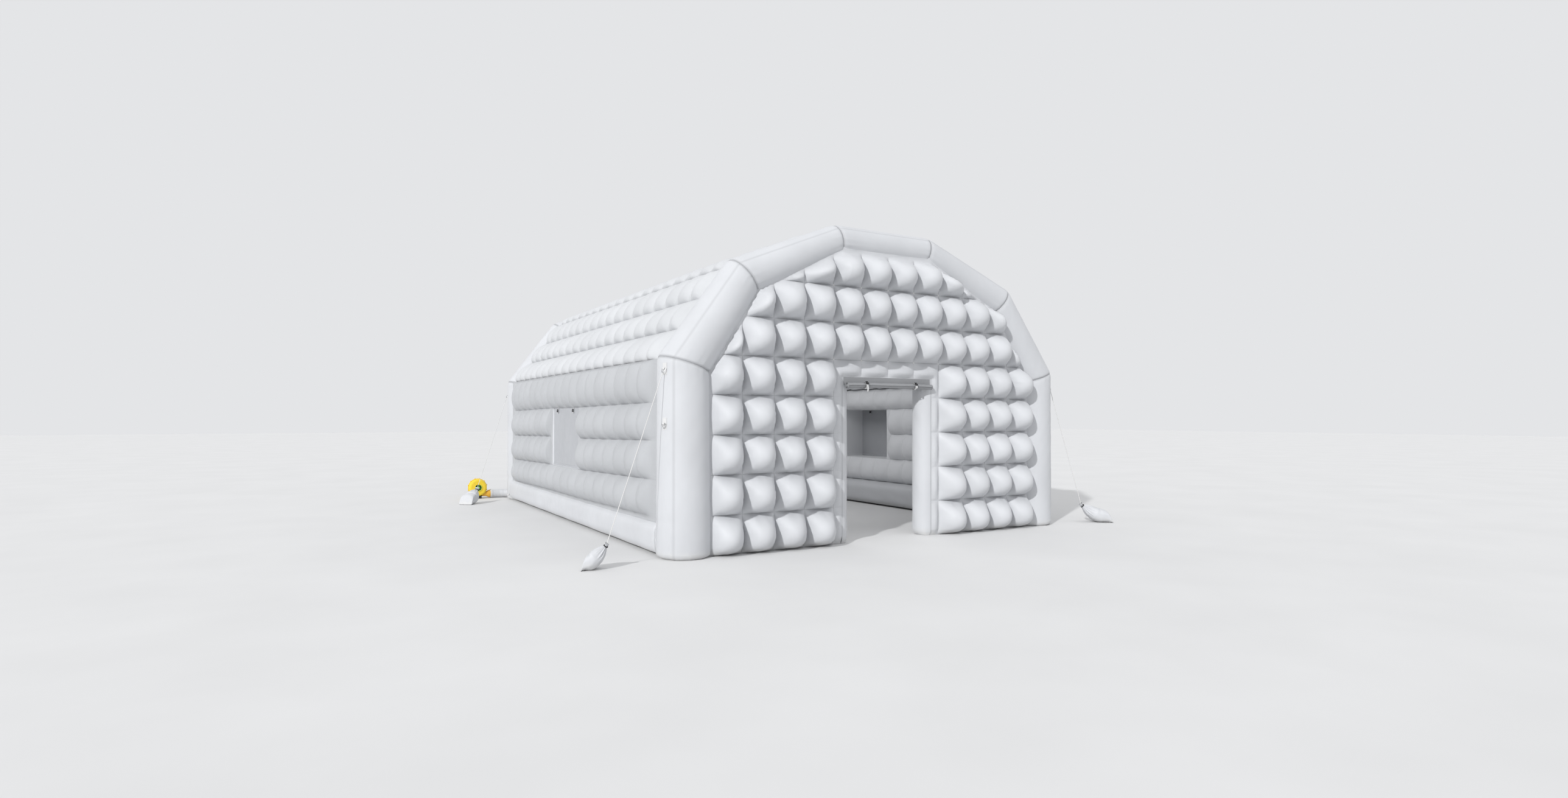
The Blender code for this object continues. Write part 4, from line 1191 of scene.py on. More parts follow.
@dataclass
class SideWalls:
    """The two side walls with their window openings."""

    panel_reach: float = 3.50
    columns: int = 18
    rows: tuple = (0.40, 0.80, 1.235, 1.67, 2.10)
    low: float = 0.28
    seam_share: float = 0.82
    crown_share: float = 1.22
    cushions: Cushions = Cushions(droop=0.10, simulated_share=0.07, roundness=0.92, tube_share=0.66, ridge=0.05)
    walls: tuple = ((Side.LEFT, 0, 1, 2), (Side.RIGHT, 7, 6, 9))
    bow: float = 0.03
    rise: float = 0.11
    window_half_width: float = 0.67
    window_bottom: float = 0.80
    window_top: float = 1.67
    zone_half_width: float = 0.778
    smooth_strip: float = 0.27
    least_weight: float = 0.12
    post_edge: float = 3.42
    into_post: float = 3.62
    reveal_steps: int = 24
    reveal_depths: tuple = (0.0, 0.015, 0.05, 0.5, 0.95, 1.0)
    reveal_bulge: float = 0.012
    outer_steps: int = 14
    inner_steps: int = 9

    def weight(self, along: Grid, height: Grid) -> Grid:
        """Fades the cushions towards the posts and leaves them out beside the window.

        Args:
            along: Places along the tent.
            height: Heights on the wall.

        Returns:
            The weight of the cushions, from 0 to 1.
        """
        towards_post = smooth_step(0.0, self.smooth_strip, self.post_edge - np.abs(along))
        beside = ((np.abs(along) < self.zone_half_width) & (height > self.window_bottom)
                  & (height < self.window_top))
        return (self.least_weight + (1 - self.least_weight) * towards_post) * ~beside

    def keep(self, along: Grid, height: Grid) -> Grid:
        """Tells what of the wall is not cut out for the window."""
        return ~((np.abs(along) < self.window_half_width) & (height > self.window_bottom)
                 & (height < self.window_top))

    def build(self, patch: QuiltPatch) -> None:
        """Builds both skins of both walls.

        Args:
            patch: The blown-up quilting.
        """
        columns = np.linspace(-self.panel_reach, self.panel_reach, self.columns + 1)
        for side, first, last, seed in self.walls:
            shape = SidePanel(first, last, self.seam_share, self.crown_share, self.bow, self.rise,
                              1 - self.window_top / ARCH.eave)
            for skin, finish, steps in ((Skin.OUTER, Finish.panel_cloth, self.outer_steps),
                                        (Skin.INNER, Finish.room_cloth, self.inner_steps)):
                panel = QuiltedPanel(
                    name=f"side_wall_{side.label}_{skin.label}_skin", columns=columns, rows=np.array(self.rows),
                    place=partial(shape.put, skin), weight=self.weight, keep=self.keep,
                    extra_columns=(-self.window_half_width, self.window_half_width), edges=(self.low, None),
                    sides=(-self.into_post, self.into_post), cushions=self.cushions, steps=steps, seed=seed)
                flip = (side is Side.LEFT) is (skin is Skin.INNER)
                panel.build(patch, finish, flip, f"side_wall_{side.label}")
            self.reveal(side, shape)

    def reveal(self, side: Side, shape: SidePanel) -> None:
        """Builds the four faces of the window opening between the two skins.

        Args:
            side: Which wall.
            shape: The wall's panel.
        """
        half, low, high = self.window_half_width, self.window_bottom, self.window_top
        share = np.linspace(0, 1, self.reveal_steps + 1)[:-1, None]
        corners = np.array(((-half, low), (half, low), (half, high), (-half, high), (-half, low)))
        line = np.concatenate([a * (1 - share) + b * share for a, b in zip(corners[:-1], corners[1:])])
        outer, inner = (shape.put(skin, *line.T, np.zeros(len(line))) for skin in Skin)
        depth = np.array(self.reveal_depths)[:, None, None]
        net = outer[None] * (1 - depth) + inner[None] * depth
        to_middle = unit(np.array((0.0, (low + high) / 2)) - line)
        net[..., 1:] += self.reveal_bulge * np.sin(math.pi * depth) ** 0.5 * to_middle[None]
        piece = add_net(f"window_reveal_{side.label}", net, Finish.room_cloth, around=True,
                        flip=side is Side.LEFT)
        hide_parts(f"side_wall_{side.label}")


@dataclass
class RoofPanels:
    """The five roof panels between the arches."""

    panel_reach: float = 3.50
    columns: int = 18
    rows: int = 3
    seam_share: float = 0.70
    crown_share: float = 1.10
    cushions: Cushions = Cushions(droop=0.12, simulated_share=0.12, roundness=0.75, tube_share=0.45, ridge=0.05)
    panels: tuple = (("roof_slope_left", 1, 2), ("roof_shoulder_left", 2, 3), ("roof_top", 3, 4),
                     ("roof_shoulder_right", 5, 4), ("roof_slope_right", 6, 5))
    seed: int = 20
    post_edge: float = 3.46
    into_arch: float = 3.62
    smooth_strip: float = 0.20
    least_weight: float = 0.12
    outer_steps: int = 12
    inner_steps: int = 7

    def weight(self, along: Grid, height: Grid) -> Grid:
        """Fades the cushions towards the arches, at every height alike."""
        inwards = smooth_step(0.0, self.smooth_strip, self.post_edge - np.abs(along))
        return self.least_weight + (1 - self.least_weight) * inwards

    def build(self, patch: QuiltPatch) -> None:
        """Builds both skins of the five panels.

        Args:
            patch: The blown-up quilting.
        """
        columns = np.linspace(-self.panel_reach, self.panel_reach, self.columns + 1)
        for number, (node, first, last) in enumerate(self.panels):
            shape = SidePanel(first, last, self.seam_share, self.crown_share)
            rows = np.linspace(0.0, ARCH.span(first, last), self.rows + 1)
            for skin, finish, steps in ((Skin.OUTER, Finish.roof_cloth, self.outer_steps),
                                        (Skin.INNER, Finish.room_cloth, self.inner_steps)):
                panel = QuiltedPanel(
                    name=f"{node}_{skin.label}_skin", columns=columns, rows=rows,
                    place=partial(shape.put, skin), weight=self.weight, cushions=self.cushions,
                    sides=(-self.into_arch, self.into_arch), steps=steps, seed=self.seed + number)
                panel.build(patch, finish, (last < first) is (skin is Skin.OUTER), node)


@dataclass
class EndWalls:
    """The front wall, notched for the doorway, and the back wall."""

    plane_y: float = 3.72
    half_thickness: float = 0.15
    crown: float = 0.405
    cushions: Cushions = Cushions(droop=0.07, simulated_share=0.09, roundness=0.84)
    seed: int = 40
    column: float = 0.4125
    columns: int = 12
    row: float = 0.445
    rows: int = 8
    top_row: float = 3.53
    edge_fade: tuple = (0.01, 0.06)
    slope_edge_fade: tuple = (0.02, 0.04)
    slope_rise: float = 0.4
    arch_margin: float = 0.02
    foot_rise: tuple = (-0.02, 0.10)
    foot_draw: float = 0.03
    door_half_width: float = 0.705
    door_height: float = 2.10
    outer_door_height: float = 2.02
    door_strip: float = 0.07
    door_weight: float = 0.22
    door_columns: int = 2
    door_rows: int = 5
    tube_radii: tuple = (0.295, 0.20)
    wall_off: float = 0.17
    outer_steps: int = 14
    inner_steps: int = 8

    def edge_depth(self, x: Grid, z: Grid) -> Grid:
        """How far points are inside the line where the wall leaves the arch's tube."""
        radius = np.interp(z, (ARCH.eave, ARCH.top), self.tube_radii)
        return ARCH.within(x, z) - np.sqrt(radius ** 2 - self.wall_off ** 2)

    def weight(self, door_height: float, along: Grid, height: Grid) -> Grid:
        """Fades the cushions towards the frame and lowers them round the door.

        Args:
            door_height: The height of the doorway in this skin, or 0 without one.
            along: Places across the tent.
            height: Heights on the wall.

        Returns:
            The weight of the cushions, from 0 to 1.
        """
        slope = np.clip((height - ARCH.eave) / self.slope_rise, 0, 1)
        start, width = (low + more * slope for low, more in zip(self.edge_fade, self.slope_edge_fade))
        share = np.clip((self.edge_depth(along, height) - start) / width, 0, 1)
        weight = np.sqrt(1 - (1 - share) ** 2)
        if door_height:
            away = np.maximum(np.abs(along) - self.door_half_width, height - door_height)
            beside = (np.abs(along) < self.door_columns * self.column) & (height < self.door_rows * self.row)
            weight = weight * smooth_step(0.0, self.door_strip, away) * np.where(beside, self.door_weight, 1.0)
        return weight

    def keep(self, door_height: float, along: Grid, height: Grid) -> Grid:
        """Tells what is inside the frame and outside the doorway, which has no height in the back wall."""
        in_door = (np.abs(along) < self.door_half_width) & (height < door_height)
        return (ARCH.within(along, height) > self.arch_margin) & ~in_door

    def put(self, end: int, skin: Skin, along: Grid, height: Grid, swell: Grid) -> Grid:
        """Puts flat points of one skin in their place; the foot of the wall is drawn in.

        Args:
            end: -1 for the front wall and 1 for the back one.
            skin: Which skin.
            along: The points' places across the tent.
            height: Their heights.
            swell: The heights of the cushions there.

        Returns:
            The points.
        """
        out = self.half_thickness + (self.crown - self.half_thickness) * swell
        out = out - self.foot_draw * (1 - smooth_step(*self.foot_rise, height))
        return np.stack((along, end * (self.plane_y + skin.value * out), np.maximum(height, 0.0)), axis=-1)

    def build(self, patch: QuiltPatch) -> None:
        """Builds both skins of both walls.

        Args:
            patch: The blown-up quilting.
        """
        half = self.columns // 2
        columns = np.arange(-half, half + 1) * self.column
        rows = np.append(np.arange(self.rows) * self.row, self.top_row)
        skins = ((Skin.OUTER, Finish.cloth, self.outer_steps, self.outer_door_height),
                 (Skin.INNER, Finish.room_cloth, self.inner_steps, self.door_height))
        for node, end in (("front_wall", -1), ("back_wall", 1)):
            doorway = end < 0
            for skin, finish, steps, top in skins:
                cut = top if doorway else 0.0
                panel = QuiltedPanel(
                    name=f"{node}_{skin.label}_skin", columns=columns, rows=rows, seed=self.seed + end,
                    place=partial(self.put, end, skin), weight=partial(self.weight, cut),
                    keep=partial(self.keep, cut), edges=(None, ARCH.top), sides=(-ARCH.post_x, ARCH.post_x),
                    extra_columns=(-self.door_half_width, self.door_half_width) if doorway else (),
                    extra_rows=(top,) if doorway else (), cushions=self.cushions, steps=steps)
                panel.build(patch, finish, doorway is (skin is Skin.INNER), node)


@dataclass
class DoorFrame:
    """The round-edged jambs and lintel of the doorway, drawn in at the mitres and at the ground."""

    half_width: float = 0.7047
    height: float = 2.0997
    plane_y: float = -3.72
    half_depth: float = 0.15
    swell: float = 0.145
    section_points: int = 25
    jamb_rings: int = 60
    lintel_rings: int = 40
    pucker: Wrinkles = Wrinkles(0.006, 5.0, 61, 0.08)
    pinch: float = 0.012
    pinch_reach: float = 0.02
    foot_draw: float = 0.05
    foot_reach: float = 0.07
    unevenness: Wrinkles = Wrinkles(0.003, 2.0, 67)
    unevenness_twist: float = 5.0
    seam_half_width: float = 0.006
    seam_darkness: float = 0.8

    def ring(self, part: int, share: float) -> tuple[Grid, Grid]:
        """One section of the frame.

        Args:
            part: 0 for the left jamb, 1 for the lintel, 2 for the right jamb.
            share: The share of the way up the jamb, or along the lintel.

        Returns:
            Its points, and how much painted shade each gets at the mitres and where the frame meets the wall.
        """
        lintel = part == 1
        turns = np.linspace(-math.pi / 2, math.pi / 2, self.section_points)
        to_corner = min(share, 1 - share) * 2 * self.half_width if lintel else (1 - share) * self.height
        pucker = self.pucker.at(to_corner, turns * 2, part) - self.pinch * bell(to_corner, self.pinch_reach)
        if not lintel:
            lift = share * self.height
            pucker = pucker - self.foot_draw * max(0.0, 1 - lift / self.foot_reach) ** 2
            pucker = pucker + self.unevenness.at(0.0, turns + share * self.unevenness_twist, part)
        inward = (self.swell + pucker * np.cos(turns)) * np.cos(turns)
        out = self.half_depth * np.sin(turns) * (1 + pucker / self.swell * 0.5)
        x = (2 * share - 1 if lintel else part - 1) * (self.half_width - inward)
        z = (1 if lintel else share) * (self.height - inward)
        # Painted shade at the mitres, and full along both edges where the frame meets the wall.
        seam = np.full(self.section_points, self.seam_darkness * max(0.0, 1 - to_corner / self.seam_half_width))
        seam[[0, -1]] = 1.0
        return np.stack((x, self.plane_y - out, z), axis=-1), seam

    def build(self) -> None:
        """Builds the frame as one piece."""
        jamb, lintel = (np.linspace(0, 1, rings) for rings in (self.jamb_rings, self.lintel_rings))
        rings, seams = zip(*(self.ring(part, share) for part, shares in enumerate((jamb, lintel, jamb[::-1]))
                             for share in shares))
        piece = add_net("door_frame_cloth", np.array(rings), Finish.cloth, seam=np.array(seams), flip=True)
        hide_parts("door_frame_tube")
        log.info("door frame: 1 piece")


@dataclass
class SideReleaseBuckle:
    """A side-release buckle: a socket half with two side openings, a prong half and two ladder bars.

    Its blocks reach from one corner to another, in shares of its half width, half length and depth.
    """

    width: float = 0.036
    length: float = 0.046
    depth: float = 0.012
    edge_radius: float = 0.0011
    blocks: tuple = (
        ((-1.0, -1.0, 0.10), (-0.72, 0.35, 1.00)), ((0.72, -1.0, 0.10), (1.0, 0.35, 1.00)),
        ((-0.72, -0.55, 0.0), (0.72, 0.42, 0.95)), ((-1.0, -1.0, 0.25), (1.0, -0.80, 0.85)),
        ((-0.95, 0.48, 0.15), (0.95, 0.68, 0.90)), ((-0.95, 0.84, 0.25), (0.95, 1.0, 0.80)),
        ((-0.95, 0.48, 0.20), (-0.74, 1.0, 0.85)), ((0.74, 0.48, 0.20), (0.95, 1.0, 0.85)))

    def build(self, name: str, place: Point, out: Point, body: str, node: Optional[str] = None) -> None:
        """Builds a buckle.

        Args:
            name: The piece's name.
            place: The middle of its back.
            out: The direction its front faces.
            body: The body that it rides on.
            node: The node that it stands for.
        """
        data = bmesh.new()
        size = np.array((self.width / 2, self.length / 2, self.depth))
        for low, high in self.blocks:
            block = bmesh.ops.create_cube(data, size=1.0)
            middle, extent = (np.array(high) + low) / 2 * size, (np.array(high) - low) * size
            bmesh.ops.transform(data, matrix=Matrix.Translation(middle) @ Matrix.Diagonal((*extent, 1.0)),
                                verts=block["verts"])
        bmesh.ops.bevel(data, geom=list(data.edges), offset=self.edge_radius, segments=2, affect="EDGES")
        facing = Vector(out).normalized()
        across = Vector(UP).cross(facing).normalized()
        turned = Matrix((across, facing.cross(across), facing)).transposed().to_4x4()
        bmesh.ops.transform(data, matrix=Matrix.Translation(place) @ turned, verts=data.verts)
        mesh = bpy.data.meshes.new(name)
        data.to_mesh(mesh)
        data.free()
        mesh.materials.append(Finish.black)
        piece = link(name, mesh)
        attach(piece, body)
        if node:
            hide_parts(node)


@dataclass
class Strap:
    """A flat webbing strap along a line of points."""

    width: float = 0.026
    thickness: float = 0.0016

    def build(self, name: str, path: Sequence[Point], across: Point, body: str,
              node: Optional[str] = None) -> None:
        """Builds a strap.

        Args:
            name: The piece's name.
            path: The line along its middle.
            across: The direction of its width.
            body: The body that it rides on.
            node: The node that it stands for.
        """
        line = np.array(path, float)
        side = np.tile(np.array(across, float), (len(line), 1))
        normal = unit(np.cross(side, unit(np.gradient(line, axis=0))))
        half, thick = self.width / 2, self.thickness / 2
        section = ((-half, -thick), (half, -thick), (half, thick), (-half, thick))
        net = np.stack([line + side * a + normal * b for a, b in section], axis=1)
        piece = add_net(name, net, Finish.webbing, body, around=True, caps=True)
        piece.data.shade_flat()
        if node:
            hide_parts(node)


@dataclass
class DoorCurtain:
    """The door curtain, rolled up and held by two straps with buckles below the lintel."""

    half_width: float = 0.68
    top: float = 2.035
    sheet_y: float = -3.8723
    sheet_wave: Wrinkles = Wrinkles(0.0022, 9.0, 71)
    sheet_lean: float = 0.003
    sheet_grid: tuple[int, int] = (69, 18)
    sheet_gap: float = 0.002
    overlap: float = 0.01
    roll_y: float = -3.9164
    roll_z: float = 1.92
    roll_radius: float = 0.0375
    core_radius: float = 0.011
    roll_half_length: float = 0.668
    turns: float = 3.2
    first_turn: float = 0.6 * math.pi
    cloth_thickness: float = 0.0016
    roll_wave: Wrinkles = Wrinkles(0.0012, 12.0, 73)
    roll_wave_slant: tuple[float, float] = (1.5, 0.4)
    roll_grid: tuple[int, int] = (90, 150)
    roll_gap: float = 0.002
    pinch_share: float = 0.12
    pinch_reach: float = 0.035
    end_share: float = 0.05
    end_reach: float = 0.03
    end_slope: float = 0.006 / 0.28
    telescope: float = 0.010
    strap_x: float = 0.385
    strap_gap: float = 0.0030
    band_steps: int = 48
    tail_width: float = 0.022
    tail_start: float = 0.012
    tail_gap: float = 0.002
    tail_bow: float = 0.006
    tail_sway: float = 0.004
    tail_steps: int = 15
    tail_lengths: tuple = (("left", 0.085), ("right", 0.035))
    buckle_turn: float = 0.7
    buckle_gap: float = 0.001
    body: str = "door_curtain"

    def build(self) -> None:
        """Builds the sheet, the roll, and the straps with their buckles."""
        self.sheet()
        self.roll()
        for (label, length), side in zip(self.tail_lengths, Side):
            self.strap(label, side.value * self.strap_x, length)
        log.info("door curtain: sheet, roll, 2 straps, 2 buckles")

    def sheet(self) -> None:
        """Builds the part of the cloth between the lintel and the roll."""
        x = np.linspace(-self.half_width, self.half_width, self.sheet_grid[0])
        z = np.linspace(self.roll_z + self.sheet_gap, self.top, self.sheet_grid[1])
        height, across = np.meshgrid(z, x, indexing="ij")
        hang = (self.top - height) / (self.top - self.roll_z)
        wave = self.sheet_wave.at(0.0, across) * hang
        net = np.stack((across, self.sheet_y + self.sheet_lean * (1 - hang) - np.abs(wave), height), axis=-1)
        piece = add_net("door_curtain_cloth", net, Finish.curtain_cloth, self.body)
        piece.parent = None
        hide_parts("door_curtain_sheet")
        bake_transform(piece)

    def roll(self) -> None:
        """Builds the roll as a spiral of cloth, pinched under the straps and sagging past them."""
        x = np.linspace(-self.roll_half_length, self.roll_half_length, self.roll_grid[0])
        along, share = np.meshgrid(x, np.linspace(0, 1, self.roll_grid[1]), indexing="ij")
        angle = 2 * math.pi * self.turns * share + self.first_turn
        radius = self.core_radius + (self.roll_radius - self.roll_gap - self.core_radius) * share
        pinch = sum(bell(along - side.value * self.strap_x, self.pinch_reach) for side in Side)
        stretch, twist = self.roll_wave_slant
        wave = self.roll_wave.at(0.0, along * stretch + angle * twist) * share
        ends = np.exp(-(self.roll_half_length - np.abs(along)) / self.end_reach)
        radius = (radius * (1 - self.pinch_share * pinch) + wave) * (1 + self.end_share * ends)
        past_strap = np.maximum(0.0, np.abs(along) - self.strap_x)
        shift = self.telescope * (share - 0.5) * np.sign(along) * ends
        net = np.stack((along - shift, self.roll_y + radius * np.cos(angle),
                        self.roll_z - self.end_slope * past_strap + radius * np.sin(angle)), axis=-1)
        piece = add_net("door_curtain_rolled_cloth", net, Finish.curtain_cloth, self.body)
        thick = piece.modifiers.new("thickness", "SOLIDIFY")
        thick.thickness = self.cloth_thickness
        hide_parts("door_curtain_roll")

    def strap(self, label: str, x: float, tail_length: float) -> None:
        """Builds one strap round the roll, its free tail and its buckle.

        Args:
            label: The side in its names.
            x: Its place along the roll.
            tail_length: How far its tail hangs down.
        """
        ring = self.roll_radius + self.strap_gap
        band = [(x, self.roll_y + ring * math.cos(a), self.roll_z + ring * math.sin(a))
                for a in np.linspace(0, 2 * math.pi, self.band_steps + 1)]
        Strap().build(f"door_strap_band_{label}", band, (1.0, 0.0, 0.0), self.body, f"door_strap_{label}")
        front = self.roll_y - ring - self.tail_gap
        tail = [(x + self.tail_sway * math.sin(3 * t), front - self.tail_bow * math.sin(2.4 * t),
                 self.roll_z + self.tail_start - tail_length * t)
                for t in np.linspace(0, 1, self.tail_steps + 1)]
        Strap(width=self.tail_width).build(f"door_strap_tail_{label}", tail, (1.0, 0.0, 0.0), self.body)
        out = Vector((0.0, -math.cos(self.buckle_turn), math.sin(self.buckle_turn)))
        place = Vector((x, self.roll_y, self.roll_z)) + out * (ring + self.buckle_gap)
        SideReleaseBuckle().build(f"door_buckle_{label}_clip", tuple(place), tuple(out), self.body,
                                  f"door_buckle_{label}")


@dataclass
class WindowCover:
    """The cloth over one window, and two straps with buckles on each face at its top."""

    side: Side
    plane_x: float = 2.95
    half_width: float = 0.6695
    bottom: float = 0.8326
    top: float = 1.6695
    overlap: tuple = (0.02, 0.01)
    grid: tuple[int, int] = (61, 41)
    billow: Wrinkles = Wrinkles(0.0035, 3.0, 81)
    billow_slant: tuple[float, float] = (0.9, 2.2)
    strap_pull: float = 0.002
    pull_reach: tuple[float, float] = (0.05, 0.12)
    strap_offsets: tuple = (-0.40, 0.40)
    strap_width: float = 0.022
    strap_length: float = 0.075
    strap_out: tuple = (0.008, 0.0145)
    strap_bow: float = 0.35
    strap_drop: float = 0.004
    strap_steps: int = 12
    buckle_gap: float = 0.0012
    buckle_drop: float = 0.040

    @property
    def body(self) -> str:
        """The body of the bar that the cloth rolls up on."""
        return f"window_hem_{self.side.label}"

    def build(self) -> None:
        """Builds the cover and its straps, which bow out so that the raised bar passes behind them."""
        side, name = self.side.value, self.side.label
        y = np.linspace(-self.half_width, self.half_width, self.grid[0])
        z = np.linspace(self.bottom, self.top, self.grid[1])
        height, along = np.meshgrid(z, y, indexing="ij")
        down = (self.top - height) / (self.top - self.bottom)
        free = np.sin(math.pi * np.clip(down, 0, 1)) * np.cos(math.pi / 2 * along / self.half_width) ** 0.5
        aside, below = self.pull_reach
        pull = sum(bell(along - offset, aside) for offset in self.strap_offsets) * np.exp(-down / below)
        stretch, slant = self.billow_slant
        wave = self.billow.at(0.0, along * stretch + down * slant, side) * free + self.strap_pull * pull
        net = np.stack((side * (self.plane_x + wave), along, height), axis=-1)
        piece = add_net(f"window_cover_cloth_{name}", net, Finish.cover_cloth, TENT,
                        flip=self.side is Side.LEFT)
        piece.parent = None
        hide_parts(f"window_cover_{name}")
        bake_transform(piece)
        near, far = self.strap_out
        for number, offset in enumerate(self.strap_offsets, 1):
            for face, label in ((1, "outer"), (-1, "inner")):
                shares = np.linspace(0, 1, self.strap_steps + 1)
                outs = [near + (far - near) * smooth_step(0.0, self.strap_bow, t) for t in shares]
                strap = [(side * (self.plane_x + face * out), offset,
                          self.top - self.strap_drop - self.strap_length * t) for out, t in zip(outs, shares)]
                Strap(self.strap_width).build(f"window_strap_{name}_{label}_{number}", strap, (0.0, 1.0, 0.0),
                                              TENT)
                place = (side * (self.plane_x + face * (far + self.buckle_gap)), offset,
                         self.top - self.buckle_drop)
                SideReleaseBuckle().build(f"window_buckle_{name}_{label}_{number}", place,
                                          (side * face, 0.0, 0.0), TENT)
        log.info("window cover %s: cloth, 4 straps, 4 buckles", name)


@dataclass(frozen=True)
class Anchor:
    """Where a patch with its ring sits on a post, which narrows a little up to the eave."""

    label: str
    side_x: int
    side_y: int
    height: float
    turn_from_side: float = math.radians(22.5)
    lowest: float = 0.065
    post_sides: int = 24
    gap: float = 0.0006

    @property
    def radial(self) -> Grid:
        """The direction that the patch faces."""
        turn = math.atan2(self.side_y * math.sin(self.turn_from_side),
                          self.side_x * math.cos(self.turn_from_side))
        return np.array((math.cos(turn), math.sin(turn), 0.0))

    @property
    def axis(self) -> Point:
        """The point on the post's middle line behind the patch."""
        return self.side_x * ARCH.post_x, self.side_y * ARCH.post_y, self.height

    @property
    def seat(self) -> float:
        """How far the patch's back is from the post's middle line."""
        narrowed = (ARCH.foot_radius - ARCH.eave_radius) * (self.height - self.lowest) / ARCH.eave
        return (ARCH.foot_radius - narrowed) * math.cos(math.pi / self.post_sides) + self.gap


@dataclass
class Anchors:
    """The sewn patches with rings on the posts: webbing, stitches and steel."""

    places: tuple = (Anchor("front_left", -1, -1, 2.05), Anchor("front_right", 1, -1, 1.96),
                     Anchor("back_left", -1, 1, 1.94), Anchor("back_right", 1, 1, 1.94),
                     Anchor("front_left_middle", -1, -1, 1.46))
    patch_width: float = 0.062
    patch_height: float = 0.130
    patch_thickness: float = 0.0042
    stitch_inset: float = 0.006
    stitch_step: float = 0.005
    stitch_size: tuple = (0.0018, 0.0007)

    def build(self) -> None:
        """Dresses the patches and rings and adds the stitches round every patch."""
        for anchor in self.places:
            for node, finish in (("anchor_patch", Finish.webbing), ("anchor_ring", Finish.steel)):
                dress(f"{node}_{anchor.label}", finish)
            self.stitches(anchor)
        log.info("anchors: %d patches and rings", len(self.places))

    def stitches(self, anchor: Anchor) -> None:
        """Builds a row of stitches round a patch, each one a low pyramid.

        Args:
            anchor: The patch's place.
        """
        centre = anchor.axis + anchor.radial * (anchor.seat + self.patch_thickness)
        across = np.cross(UP, anchor.radial)
        half, tall = self.patch_width / 2 - self.stitch_inset, self.patch_height / 2 - self.stitch_inset
        step, (long, wide) = self.stitch_step, self.stitch_size
        spots = [(a, b * tall, long, wide) for a in np.arange(-half, half + 0.001, step) for b in (-1, 1)]
        spots += [(b * half, a, wide, long) for a in np.arange(-tall + step, tall, step) for b in (-1, 1)]
        points, faces = [], []
        for a, b, width, height in spots:
            middle = centre + across * a + UP * b
            start = len(points)
            points += [middle + across * i * width + UP * j * height
                       for i, j in ((-1, -1), (1, -1), (1, 1), (-1, 1))]
            points.append(middle + anchor.radial * wide)
            faces += [(start + k, start + (k + 1) % 4, start + 4) for k in range(4)]
        add_mesh(f"anchor_stitches_{anchor.label}", np.array(points), faces, Finish.rope)


